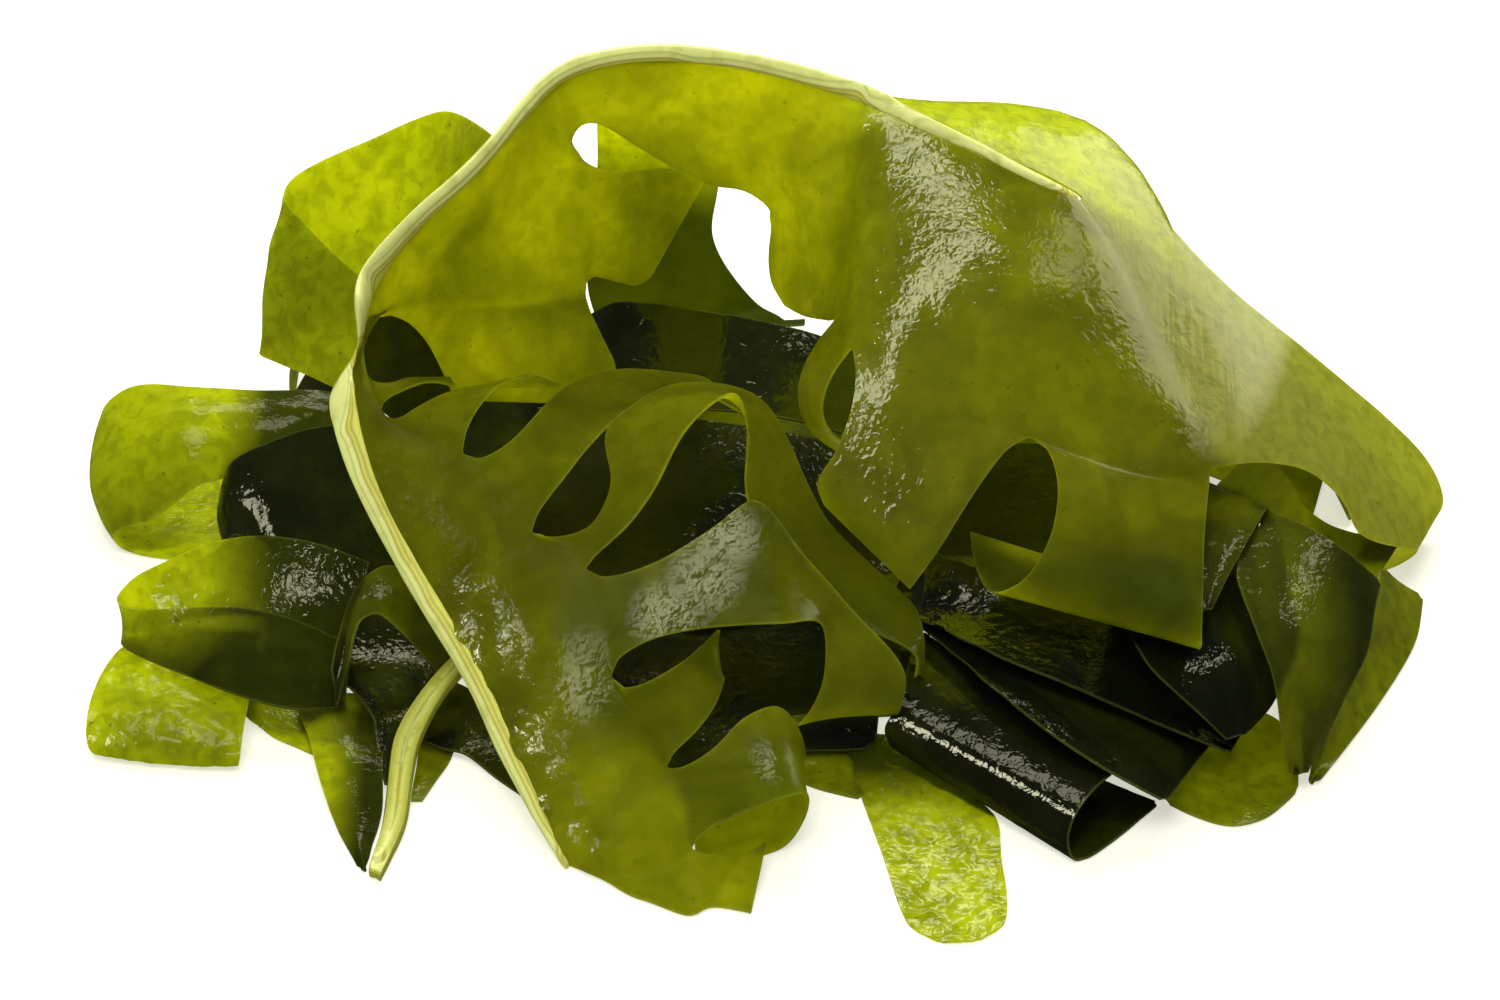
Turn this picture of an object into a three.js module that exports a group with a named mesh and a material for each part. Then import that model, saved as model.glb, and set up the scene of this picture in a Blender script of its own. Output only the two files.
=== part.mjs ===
// A heap of fresh kelp lying on a table: one long frond, looped over a bed of strap-shaped lobes.
// The frond is a pale midrib with a thin blade along it, and round-ended gaps part the blade into lobes.
// Millimetres, +Z up. The origin is on the table, under the middle of the heap.
import * as THREE from "three";

// Driving dimensions.
const SHEET = 1.0; // thickness of the blade and of every strap
const RIB = { thickness: 2.2, gap: 0.4, end: 24, sides: 6 };
// The midrib's width at places along RIM: it fades out at both ends, and is widest at the left shoulder.
const RIB_WIDTHS = [
  [0, 1.2], [1, 2.6], [2, 4], [6, 4.4], [7.2, 6], [8.2, 8],
  [9.3, 7.2], [10.5, 5.4], [12, 4.2], [14, 3.6], [19, 3.8], [24, 1.6],
];
const STIPE_THICKNESS = 1.8;
const WEB_ROWS = 4; // rows of facets between the midrib and the bottom of a gap
const LOBE_COLUMNS = 3; // facets across a lobe
const STRAP_COLUMNS = 2; // and across a strap
const ROWS_PER_STATION = 2;
const SAG_ROWS = 9; // rows over which a lobe loses the sag of its web
const FLAT = 0; // the height of a piece that lies on the table

// Every point below is laid out as a viewer in front of the heap sees it, on an upright drawing sheet:
// x to the right and y down from the sheet's top left corner, then the point's height over the table.
const DRAWING = { centreX: 150, centreY: 100, tableY: 150 };
const VIEW = { elevation: THREE.MathUtils.degToRad(35), distance: 900 };

// The edge of the blade along the midrib: from the cut end at the front, over the top, and back behind it.
const RIM = [
  [114, 172.5, 1], [109, 162, 6], [103.5, 149, 12], [97, 135, 18.5], [89.5, 122, 25], [82.5, 110, 31],
  [76, 97, 38.5], [72.7, 86, 45.5], [71, 75, 52.5], [72.3, 66, 58.5], [77, 55, 66], [85, 45, 73.5],
  [95, 35.5, 80.5], [104.5, 25, 87], [113, 16.5, 92], [123, 13.4, 94.5], [135, 12.6, 95.5], [148, 14.2, 95],
  [161, 17.2, 93.5], [173, 21.3, 91], [184, 26.2, 88], [195, 31, 84.5], [205, 36, 81], [213, 39.8, 77.5],
  [216.5, 41.4, 75.2], [217.8, 40.3, 75.6], [213.5, 36.6, 78.8], [204, 32, 83], [192, 25.6, 87.5],
  [178, 19, 92.5],
];

// Where two lobes part: a place along RIM, then the line from there to the bottom of the gap between them.
const PARTINGS = [
  { rim: 0, line: [[119, 175.2, FLAT], [126, 179, FLAT]] },
  { rim: 1, line: [[124, 166.5, 8], [138.3, 169.6, 5.5]] },
  { rim: 2.1, line: [[119, 150.5, 15], [133.4, 153.6, 13]] },
  { rim: 3.1, line: [[110, 134.5, 23], [122.3, 135.3, 23]] },
  { rim: 4.2, line: [[104, 116, 32], [117.2, 113.8, 34.5]] },
  { rim: 5, line: [[95, 107.5, 36], [106.4, 106.5, 37.5]] },
  { rim: 6.2, line: [[84, 92.5, 43], [92.6, 90.6, 45]] },
  { rim: 7.2, line: [[74.5, 83.2, 48], [76, 82.6, 48.5]] },
  { rim: 9.1, line: [[72.9, 64.6, 59], [73.5, 64.2, 58.7]] },
  { rim: 11.7, line: [[104, 47, 62], [117.3, 56.3, 47]] },
  { rim: 13.3, line: [[110.5, 25.5, 84], [114.4, 28.3, 80]] },
  { rim: 16.4, line: [[146, 27, 80], [153.6, 41.3, 63.5]] },
  { rim: 18.7, line: [[169, 32, 80], [168.5, 47, 68], [167, 64, 54]] },
  { rim: 19.6, line: [[173.3, 34, 83], [172.8, 47, 75], [171.5, 58, 68], [170.4, 69.7, 61]] },
  { rim: 21.6, line: [[203, 60, 70], [206, 87.4, 50]] },
  { rim: 24, line: [[221, 47, 71.5], [226, 58, 64], [230.5, 71, 55.5], [236, 85, 47], [242, 94, 41.5]] },
  { rim: 24.9, line: [[226, 44.5, 70.5], [234.5, 46, 64.5]] },
  { rim: 27, line: [[209, 25.5, 82], [217, 24.3, 76]] },
  { rim: 29, line: [[177.3, 19.2, 90.5], [176.5, 20, 87]] },
];

// The lobes between those partings, each as its two edges from the bottoms of the gaps to its end.
// A lobe with a hem ends there: the hem runs from one gap to the next.
const LOBES = [
  { // lies on the table in front
    from: [[132, 181.2, FLAT], [138, 183, FLAT], [142.5, 181.4, FLAT], [150.2, 182.5, FLAT]],
    to: [[140.5, 170.9, 5], [144.5, 171.2, 4], [149, 170.6, 3.5], [153.3, 168.6, 3.5]],
  },
  { // bends over at its right side and comes back along the table
    from: [[140, 167.2, 8], [145, 164, 11], [153, 160.8, 13], [161, 158.8, 12.5], [160.8, 163.5, 6],
      [156.5, 169.4, 1], [147, 172, FLAT], [139, 171.4, FLAT]],
    to: [[136.5, 153.5, 14], [142.5, 150, 16.5], [149, 143.6, 19], [156, 141.5, 19], [160.5, 148, 13],
      [160, 154, 5], [154, 156, 1.8], [146, 157, 1.2], [139, 158, 1]],
  },
  { // bends under at its right end
    from: [[134.6, 150.8, 15.5], [139, 146.5, 18], [143, 141, 20.5], [144.7, 135.5, 20.5],
      [141.5, 137, 15.5], [135, 140, 12]],
    to: [[125, 137.6, 22.5], [131, 135.7, 24], [138, 131.2, 25], [143.7, 126, 25], [142, 129.5, 19],
      [136, 133, 15]],
  },
  { // makes a tent and hangs down in front
    from: [[124, 131.5, 25.5], [132, 127.3, 28.5], [145, 125.2, 30.5], [157, 124.6, 31], [164.2, 124.6, 28],
      [165.2, 130.5, 22.5], [164, 138, 15.5], [160, 145, 9], [158.5, 143.4, 7.5]],
    to: [[121.3, 115.4, 34], [132.5, 111.8, 36.5], [143, 105.3, 40], [151.3, 100.2, 42.5],
      [160, 109.8, 37.5], [171, 122.5, 29], [180.8, 134, 19], [179.8, 142.3, 11.5], [177, 141.5, 9]],
  },
  { // rises to a hoop and goes over to the right
    from: [[119, 111.2, 36.5], [125.5, 105, 41], [131.2, 97, 46.5], [137.5, 85.6, 52.5],
      [146.8, 78.8, 55.5], [149.5, 86, 48], [149, 97, 38.5], [152, 107, 31], [158, 115.5, 26],
      [167, 122.5, 22.5], [176, 127, 20], [181, 129.3, 18.7], [183.4, 131.8, 17], [182.8, 135.5, 14.5]],
    to: [[109.8, 107.7, 37.5], [118, 105.2, 38.5], [122.3, 96, 42], [121.3, 86.3, 46], [136, 76.8, 49.5],
      [152, 79.8, 46.5], [160.2, 94, 36], [165, 103.5, 29], [172, 111, 24], [178, 116.5, 21.5],
      [183, 121.5, 20], [184.6, 126.5, 18.5], [184.8, 130, 16.8], [184.3, 134.3, 14.6]],
  },
  { // a second hoop behind the first
    from: [[107.6, 102.6, 39.5], [113, 95.3, 42.5], [120, 86.8, 44.5], [129, 79.8, 44.5], [140, 78.5, 40.5],
      [149, 83, 35]],
    to: [[96, 91.7, 44], [102.5, 88, 44.5], [108.8, 81.3, 45], [115.5, 75.9, 45], [126.5, 73.8, 42],
      [141, 75.6, 37.5]],
  },
  { // a third, turned away
    from: [[93.2, 86.4, 46.5], [96, 81, 48.5], [100.5, 76.6, 49], [106, 75, 46], [112, 77, 40.5]],
    to: [[79, 83.9, 47.5], [83, 81.8, 47.5], [88, 79.2, 47], [95, 77.4, 44], [102, 77.5, 38]],
  },
  { // a narrow one, seen edge on
    from: [[76.6, 80.6, 49.3], [80, 78.3, 47.5], [86, 76.4, 44], [91, 77.4, 39.5]],
    to: [[73.4, 71, 53.2], [74, 76.4, 48.5], [82, 75.8, 41], [90, 75.6, 35]],
  },
  { // the curtain at the back left
    columns: 5,
    from: [[77, 63, 56], [81, 64.1, 51.5], [84.8, 67.6, 45], [87.6, 72.5, 38], [91, 80, 28]],
    to: [[117, 59, 44.5], [118.6, 63.7, 41], [121, 68.5, 36.5], [123, 73, 32], [123.5, 81, 24]],
  },
  { // a short lobe with a cut end
    from: [[119, 55.2, 46], [121.8, 55.8, 44.5], [124.6, 56.6, 42.5], [127.3, 57, 41], [130, 55.4, 40]],
    to: [[116.2, 31.8, 77], [119.8, 33.8, 74], [126, 34.5, 70], [133.5, 33.8, 67], [141, 36.2, 62]],
  },
  { // the roof of the loop
    columns: 6,
    hem: [[116.2, 25, 82], [120.5, 25, 81.5], [126, 28.3, 78], [133, 32.6, 73.5], [143, 37.3, 68]],
  },
  { // hangs down behind the loop
    from: [[154.4, 45, 58.5], [153.9, 51, 52], [154.5, 56.5, 47], [157, 61, 43.5]],
    to: [[165, 64, 52], [163, 63.7, 49.5], [161, 63.2, 47], [159, 62.2, 44.5]],
  },
  { // a narrow ring in front of it
    from: [[163.3, 68.8, 50.5], [160.3, 75, 46], [160, 81.5, 41], [163, 87, 36.5], [168, 90.5, 33]],
    to: [[167.6, 73, 57], [164.9, 78.5, 51], [164.6, 83.5, 45.5], [167.2, 87.5, 41.5], [172, 90, 38]],
  },
  { // the big right-hand lobe
    columns: 4,
    from: [[171.2, 74, 58.5], [170.7, 80, 54.5], [169, 86, 50], [166.5, 91.5, 46], [163.6, 96.3, 42.5],
      [165, 101, 37]],
    to: [[202, 89.4, 49.5], [197.5, 94.8, 46], [193, 101.5, 41.5], [189, 108, 36.5], [185.3, 113.4, 32],
      [182, 117.8, 27.5]],
  },
  { // rolls under at its bottom
    columns: 4,
    from: [[209.3, 89.5, 49], [211.3, 95, 46], [211.4, 101, 42.5], [209.6, 108.5, 38], [205, 115.7, 33],
      [199, 118.6, 28.5], [195.2, 113.5, 26.5], [194, 106.5, 28]],
    to: [[241.6, 98.5, 40], [241, 105, 38.5], [240.7, 112, 36.5], [240.6, 119, 34], [240.4, 125.5, 31],
      [240.2, 129.5, 27.5], [238, 126.5, 25], [236, 119.5, 26.5]],
  },
  { // the right wing, folded under at its end
    columns: 4,
    from: [[247, 92.8, 41.5], [254, 92.5, 39], [262, 94.3, 34.5], [268.6, 100, 27.5], [272, 106.5, 21],
      [279, 109.2, 13], [283.2, 110.4, 6.5], [278, 113.6, 2.5], [268, 115.5, 1.5]],
    to: [[240.5, 52.5, 59], [248.5, 60, 51.5], [259, 68.5, 42], [270, 77.5, 31.5], [279.5, 85.8, 21.5],
      [286, 93.3, 13], [288.3, 101, 6], [283, 106, 2], [272, 105.5, 1.5]],
  },
  { // falls behind the heap at the right
    from: [[236, 50.5, 53], [236.5, 61, 37], [236, 73, 18], [236, 77, 6], [237, 74, 2]],
    to: [[218.5, 29, 65], [218.5, 44, 42], [217.5, 60, 20], [217, 66, 7], [217, 64, 2.5]],
  },
  { // and beside it
    from: [[215, 28, 66], [213, 43, 43], [211, 59, 21], [210, 65, 8], [209, 63, 4]],
    to: [[177, 24, 78], [178, 38, 54], [180, 53, 32], [181, 63, 14], [182, 63, 7]],
  },
];

// The straps of the bed under the frond, each as stations of its two edges, and how far it bows between them.
const STRAPS = {
  stipe: {
    slot: "rib", thickness: STIPE_THICKNESS, columns: 2, bow: 0.5,
    stations: [[[96, 126, 9], [99, 130, 8.5]], [[90.8, 130.8, 11], [93, 134.2, 10]],
      [[84, 138.5, 9], [88.6, 139.5, 8.5]], [[79, 147, 6], [84, 148.5, 5.5]],
      [[77.7, 154.5, 3.5], [82.4, 156, 3.2]], [[76.6, 164, 1.6], [81, 165, 1.5]],
      [[73.6, 174.3, 0.9], [76, 176, 0.9]]],
  },
  strap_left_tongue: {
    slot: "bright", bow: -3.2, columns: 3,
    stations: [[[78, 88, 6], [72, 101, 1.5]], [[68, 79, 21], [63, 95, 12]], [[52, 78.2, 22], [50, 95, 14]],
      [[38, 77.5, 22.5], [40, 97, 15]], [[27, 77.3, 21.5], [31, 103.5, 9.5]],
      [[20.8, 82, 16], [22.8, 106.5, 4.5]], [[21.5, 90.5, 6], [24, 109.3, 1.5]],
      [[31, 94, 1], [31, 111.5, FLAT]], [[45, 94.5, FLAT], [45, 112.8, FLAT]]],
  },
  strap_left_hollow: {
    slot: "dark", bow: -1.5, columns: 3,
    stations: [[[90, 80, 24], [93, 113, 11]], [[78, 84, 27.5], [84, 117, 9]],
      [[63, 85.6, 27.5], [67, 117, 9]], [[54, 88.5, 25], [57, 113, 11]], [[46.5, 92.5, 20], [48, 107, 10]],
      [[45, 98, 12.5], [45, 109.5, 5]], [[52, 100.5, 7], [51, 111, 3.5]], [[64, 101, 6], [64, 112, 3.5]]],
  },
  strap_left_arch: {
    slot: "olive", bow: -0.6, columns: 3,
    stations: [[[74, 112.5, 19], [70, 128, 7]], [[64, 108.9, 20.5], [64, 127.5, 7.5]],
      [[53, 107.2, 21], [55, 127, 8]], [[42, 108.6, 19], [43, 127, 7]], [[33, 112.4, 16], [34, 127.5, 6]],
      [[26.6, 115.8, 14], [28, 127.6, 6.6]], [[23.6, 119.8, 14], [24.4, 128.4, 7.8]],
      [[27, 121.8, 16], [27.2, 131, 9.3]],
      [[37, 121.6, 17], [37, 135, 9.5]], [[48, 121.6, 17.5], [48, 139.2, 9]],
      [[58, 123.6, 16], [58, 141.8, 8]], [[66, 127, 12], [65, 141.8, 5.8]],
      [[70.5, 129.5, 9], [69, 141.5, 5.2]]],
  },
  strap_left_foot: {
    slot: "bright", bow: -0.8,
    stations: [[[31, 127.5, 2.5], [53, 132.5, 3]], [[24.6, 129.5, 6.5], [50.5, 138, 6]],
      [[19.3, 137, 7.5], [49.2, 143, 5.5]], [[17.3, 145, 5], [48.3, 148.5, 4]],
      [[18.3, 150.6, 1.8], [47.7, 153, 1.6]], [[23, 150.3, FLAT], [46.8, 152, FLAT]],
      [[26, 144.5, FLAT], [46.3, 146.5, FLAT]]],
  },
  strap_left_floor: {
    slot: "bright", fine: 1,
    stations: [[[49, 135.5, 1], [49, 142.8, FLAT]], [[57, 139, 1.5], [55, 147.6, FLAT]],
      [[66, 143, 1], [64, 151.4, FLAT]], [[76, 147, FLAT], [75, 153, FLAT]]],
  },
  strap_left_point: {
    slot: "dark", bow: -1,
    stations: [[[60, 141, 2.6], [72.5, 139.5, 2.5]], [[62.6, 147, 3.6], [75.4, 147, 3.6]],
      [[64.4, 154, 3], [75.5, 154, 3.6]], [[67, 162, 1.4], [75.4, 162, 1.4]],
      [[70, 169, FLAT], [73.6, 169, FLAT]], [[72.2, 173.3, FLAT], [72.8, 173.4, FLAT]]],
  },
  strap_left_hoop: {
    slot: "olive", bow: -0.8,
    stations: [[[66.5, 134, 11], [67.3, 141.3, 7.4]], [[68, 126, 14.5], [69.6, 133, 11]],
      [[71, 118, 19], [71.5, 124.6, 16]], [[76.5, 113.2, 21.5], [75.2, 122.6, 17.5]],
      [[82.5, 114.5, 21], [79.5, 125.5, 15.5]], [[88, 120, 17], [84.5, 131, 11]],
      [[92, 128, 10], [89, 136, 5]]],
  },
  strap_rib_shade: {
    slot: "dark",
    stations: [[[82, 138, 2.2], [82.5, 147, 1.9]], [[88, 136, 2.2], [88, 149.6, 1.9]],
      [[94, 138, 2.5], [93, 150.8, 1.9]], [[99, 143, 2.5], [99, 155.5, 0.6]],
      [[110, 151, 2], [106, 160.3, FLAT]]],
  },
  strap_stipe_shade: {
    slot: "olive", fine: 1,
    stations: [[[84, 147, FLAT], [91.5, 147.5, FLAT]], [[83.4, 152.5, FLAT], [90, 152, FLAT]],
      [[82.4, 158.5, FLAT], [85.8, 158.2, FLAT]], [[82.2, 160.2, FLAT], [84.4, 160.2, FLAT]]],
  },
  strap_tongue: {
    slot: "bright", columns: 4,
    stations: [[[168.5, 147, FLAT], [184, 147.5, FLAT]], [[171, 154.5, FLAT], [189, 156, FLAT]],
      [[174.3, 163.5, FLAT], [198.2, 163, FLAT]], [[177.4, 172, FLAT], [199.8, 172, FLAT]],
      [[180, 180, FLAT], [200.9, 180.5, FLAT]], [[182.8, 185.3, FLAT], [200, 185, FLAT]],
      [[188, 188.2, FLAT], [195.5, 187.9, FLAT]]],
  },
  strap_olive_end: {
    slot: "olive",
    stations: [[[152, 147.5, 1], [154, 152, FLAT]], [[160, 147, 1], [162, 156.5, FLAT]],
      [[168.1, 147, 1], [172.1, 159.2, FLAT]]],
  },
  strap_roll: {
    slot: "dark", columns: 3,
    stations: [[[184.5, 126.8, 12.5], [222, 154.5, 11]], [[182, 133.5, 13], [218.5, 157.5, 11]],
      [[180, 141.5, 11], [214.6, 162.8, 8.5]], [[177.5, 146, 7.5], [213.2, 167.6, 4.2]],
      [[179.5, 150, 3.5], [214.4, 171.7, 0.8]], [[187, 150.5, 2], [219, 170.2, FLAT]],
      [[198, 147.5, 2], [231, 160.8, FLAT]]],
  },
  strap_flat: {
    slot: "dark",
    stations: [[[182, 113.5, 11.5], [178, 120.5, 10.5]], [[190, 118.5, 14.5], [184.5, 125, 13.5]],
      [[203, 126, 16.5], [198, 136.5, 17]], [[217, 134.5, 14.5], [210, 146, 16]],
      [[230, 142, 10.5], [221.5, 153.6, 13.5]], [[241.5, 148.4, 5], [232.8, 159.7, 7]]],
  },
  strap_ridge: {
    slot: "dark", bow: -1.2, columns: 3,
    stations: [[[186, 111, 17], [184.5, 123.5, 16.8]], [[204, 117, 20.5], [200, 131, 20.5]],
      [[222, 123, 17.5], [214, 136.6, 18.5]], [[238, 132, 13.5], [230, 143.6, 13]],
      [[248, 146, 7], [245.5, 150, 7]]],
  },
  strap_sling: {
    slot: "dark", bow: -1, columns: 3,
    stations: [[[222, 118, 20], [253, 112, 16.5]], [[226, 127, 22.5], [255.5, 123, 18.5]],
      [[230.5, 134, 22.5], [257, 132, 15.5]], [[239, 142, 17.5], [255, 140, 12.5]],
      [[245.3, 148, 12.5], [249, 147, 11]]],
  },
  strap_tent: {
    slot: "bright", bow: -0.5,
    stations: [[[239, 101, 25], [254, 105, 23]], [[241.5, 97.2, 33], [253.4, 101.7, 32]],
      [[240, 106, 31.5], [250.5, 106.5, 30.5]], [[239.5, 115, 29.5], [246, 114.5, 28.5]],
      [[239.5, 122.5, 28], [242.3, 122, 27.5]]],
  },
  strap_twist: {
    slot: "bright", bow: -2, columns: 4,
    stations: [[[253.6, 102.6, 29.5], [275.6, 116.5, 20]], [[248, 113.5, 27.5], [274.4, 122, 18.5]],
      [[250.5, 123, 25], [273, 130, 15.5]], [[255, 135, 18.5], [269, 138.5, 12]],
      [[256.8, 146, 10], [265, 147, 7.5]], [[258.5, 154.6, 3], [261.7, 153.6, 3.2]]],
  },
  strap_right_floor: {
    slot: "bright", bow: 0.8,
    stations: [[[259, 148, 1], [259.3, 157.8, FLAT]], [[254.5, 144, 2], [253.5, 162.8, FLAT]],
      [[247, 142, 2.5], [246.5, 164.6, FLAT]], [[240, 142.5, 2], [239.5, 162.9, FLAT]],
      [[233.5, 147, 1], [233.6, 160.2, FLAT]]],
  },
  strap_right_wall: {
    slot: "dark", bow: 0.6,
    stations: [[[276.5, 114, 12], [284, 119.5, 0.6]], [[275, 122, 11.5], [282.7, 127.5, 0.6]],
      [[271.5, 131, 9], [278.5, 135.5, 0.6]], [[268, 140.5, 6], [272.5, 144, 0.6]],
      [[264.5, 149, 3.4], [266.5, 151.5, 0.6]], [[262.2, 155, 1.2], [262.6, 156, 0.6]]],
  },
  strap_back_left: {
    slot: "bright", bow: 1, columns: 3,
    stations: [[[100, 28.5, 82], [82, 48.5, 66]], [[95, 24.6, 79], [80, 54, 51]],
      [[88, 22.3, 76.5], [76, 57.5, 44.5]], [[74, 28, 71], [70, 61, 40.5]],
      [[61.5, 33.7, 64.5], [57.5, 67, 34]], [[56.4, 38.5, 58], [52.2, 70.6, 29]],
      [[58.5, 42, 56.5], [55, 72.3, 29.5]], [[65.5, 49.5, 52.5], [62, 75.2, 30]],
      [[76, 59, 47], [70, 79, 28.5]]],
  },
  strap_back_dark: {
    slot: "dark",
    stations: [[[101, 81, 2.5], [100, 93, 1]], [[111, 69.5, 12.5], [109, 87, 6]],
      [[122, 61, 24], [121, 83, 16]], [[138, 62, 26], [137, 82, 18.5]], [[152, 64.3, 25], [152, 83, 18]],
      [[166, 68, 18.5], [166, 86, 13]], [[178, 74, 9.5], [177, 90, 9]]],
  },
  strap_back_leaf: {
    slot: "bright",
    stations: [[[121, 13.2, 89.5], [141, 12.8, 90.5]], [[119.4, 17, 75], [142, 18, 74]],
      [[119.5, 33, 52], [143.8, 36, 49]], [[119, 45, 39], [142.6, 47.5, 36.5]],
      [[117.5, 57, 24], [150, 59.5, 22]], [[121, 67, 8], [160, 65, 8]], [[123, 66, 1.5], [161, 64, 1.5]]],
  },
  strap_inner_upper: {
    slot: "dark", fine: 1,
    stations: [[[84, 86, 8], [88, 121, 1.5]], [[97, 78, 20], [99, 117, 6]],
      [[115, 77.5, 21], [118, 118, 10]], [[140, 84, 24], [140, 121, 12]], [[165, 88, 24], [165, 117, 12]],
      [[190, 89, 25], [189, 111.5, 16]], [[214, 89, 26], [212, 112, 18]], [[238, 95, 23], [234, 114, 17]],
      [[252, 104, 9], [246, 121, 4]]],
  },
  strap_inner_lower: {
    slot: "dark", fine: 1,
    stations: [[[117, 128, 7], [122, 155, 2]], [[135, 123, 8], [137, 155.2, 2.6]],
      [[155, 122, 8], [156, 149.5, 2.6]], [[176, 128, 7.5], [174, 149, 2.4]]],
  },
  strap_left_inner: {
    slot: "dark", fine: 1,
    stations: [[[65.5, 120, 6], [90, 127, 4.8]], [[65, 132, 3.4], [88, 133.5, 4.2]],
      [[75.2, 142.5, 6], [83.5, 142, 4.4]], [[76.9, 151.5, 3.2], [79.6, 151, 2.5]],
      [[77.9, 157, 1], [79, 156, 1]]],
  },
  strap_wing_lining: {
    slot: "olive", fine: 1,
    stations: [[[280, 108.5, 7.5], [275.5, 115.5, 5]], [[267, 105.4, 12.5], [267, 115, 7]],
      [[260.5, 101, 20], [257, 109, 13]], [[256.6, 94.5, 28], [249, 102, 22]],
      [[249, 91, 33], [243, 97.5, 28]]],
  },
  strap_back_shade: {
    slot: "dark", fine: 1,
    stations: [[[57, 82, 2.5], [60, 90, 1]], [[64, 70, 18], [66, 82, 10]],
      [[72, 63.5, 29], [73, 80.5, 15.5]], [[80, 61, 32], [80.5, 84.3, 11.5]],
      [[86, 61, 31], [86.5, 81.5, 13]], [[92, 62.5, 29], [92.5, 79.5, 14.5]],
      [[101, 65.5, 22.5], [101, 83, 10.5]], [[109, 70, 16.5], [108, 86, 9.5]]],
  },
  strap_coil_left: {
    slot: "olive", bow: 1,
    stations: [[[59, 70.5, FLAT], [58.6, 81.5, FLAT]], [[61.5, 59, 14], [61, 68.5, 16]],
      [[70, 50.5, 24.5], [69, 61, 26]], [[86, 47.5, 27], [85, 57.5, 28]], [[101, 50.5, 19], [100, 61, 21]],
      [[109, 57, 9], [109, 67.5, 10]], [[111, 62, 3], [112, 73, 3]]],
  },
  strap_coil_right: {
    slot: "olive", bow: 1,
    stations: [[[240, 69.5, 13], [239, 80.5, 15.5]], [[246, 64.5, 22.5], [244, 75.5, 25]],
      [[255, 68, 21], [253, 79.5, 23]], [[265, 80, 11], [263, 91, 12]], [[272, 93, 1], [270, 104, 1]]],
  },
  strap_bed_middle: {
    slot: "dark", fine: 1,
    stations: [[[104, 99, FLAT], [106, 118, FLAT]], [[140, 97, FLAT], [140, 118, FLAT]],
      [[180, 98, FLAT], [180, 119, FLAT]], [[215, 101, FLAT], [215, 121, FLAT]],
      [[238, 106, FLAT], [236, 124, FLAT]]],
  },
  strap_bed_front: {
    slot: "dark", fine: 1,
    stations: [[[104, 128, FLAT], [110, 146, FLAT]], [[130, 124, FLAT], [134, 146, FLAT]],
      [[158, 124, FLAT], [158, 144, FLAT]], [[186, 127, FLAT], [184, 143, FLAT]]],
  },
  strap_back_floor: {
    slot: "olive", fine: 1,
    stations: [[[98, 72, FLAT], [96, 86, FLAT]], [[125, 70, 2], [124, 87, 2]], [[160, 73, 4], [160, 90, 6]],
      [[190, 77, 2], [189, 94, 4]], [[216, 80, FLAT], [214, 97, FLAT]]],
  },
  strap_back_right: {
    slot: "olive", fine: 1,
    stations: [[[205, 74, 5], [205, 90, 9]], [[228, 76, 8], [228, 92, 12]], [[250, 82, 6], [249, 98, 8]],
      [[266, 91, FLAT], [262, 105, FLAT]]],
  },
};

const sheetUp = new THREE.Vector3(0, Math.sin(VIEW.elevation), Math.cos(VIEW.elevation));
const sheetCentre = new THREE.Vector3(0, 0, (DRAWING.tableY - DRAWING.centreY) * sheetUp.z);
const viewAxis = new THREE.Vector3(0, Math.cos(VIEW.elevation), -Math.sin(VIEW.elevation));
const eye = sheetCentre.clone().addScaledVector(viewAxis, -VIEW.distance);

// The point of the given height that the viewer sees at (x, y) on the drawing sheet, no lower than floor.
function seen([x, y, height], floor = SHEET / 2) {
  const z = Math.max(height, floor);
  const ray = sheetCentre.clone().addScaledVector(sheetUp, DRAWING.centreY - y).sub(eye);
  ray.x += x - DRAWING.centreX;
  return eye.clone().addScaledVector(ray, (z - eye.z) / ray.z);
}

const curveOf = (points) => new THREE.CatmullRomCurve3(points, false, "centripetal");
const lift = (point, floor = SHEET / 2) => point.setZ(Math.max(point.z, floor));

// A closed sheet of even thickness around a middle surface of quads.
function thicken(points, quads, thickness) {
  const normals = points.map(() => new THREE.Vector3());
  for (const quad of quads) {
    const [a, b, c, d] = quad.map((i) => points[i]);
    const normal = c.clone().sub(a).cross(d.clone().sub(b));
    quad.forEach((i) => normals[i].add(normal));
  }
  normals.forEach((normal) => normal.setLength(thickness / 2));

  const rims = new Map();
  for (const quad of quads) {
    quad.forEach((from, i) => {
      const to = quad[(i + 1) % 4];
      if (!rims.delete(`${to} ${from}`)) rims.set(`${from} ${to}`, [from, to]);
    });
  }
  const under = points.length;
  const index = [];
  const face = (a, b, c, d) => index.push(a, b, c, a, c, d);
  for (const [a, b, c, d] of quads) {
    face(a, b, c, d);
    face(under + a, under + d, under + c, under + b);
  }
  for (const [from, to] of rims.values()) face(to, from, under + from, under + to);

  const upper = points.map((point, i) => point.clone().add(normals[i]));
  const lower = points.map((point, i) => point.clone().sub(normals[i]));
  return new THREE.BufferGeometry().setFromPoints([...upper, ...lower]).setIndex(index);
}

// A point between a and b, on a line that swells by bow to one side.
function bowed(a, b, share, side, bow) {
  return a.clone().lerp(b, share).addScaledVector(side, 4 * bow * share * (1 - share));
}

// One row of a strap or a lobe: where its two edges are at t, and the way its face looks there.
function rowAt(left, right, t) {
  const a = left.getPoint(t);
  const b = right.getPoint(t);
  const along = left.getTangent(t).add(right.getTangent(t));
  return { a, b, side: b.clone().sub(a).cross(along).normalize() };
}

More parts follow.
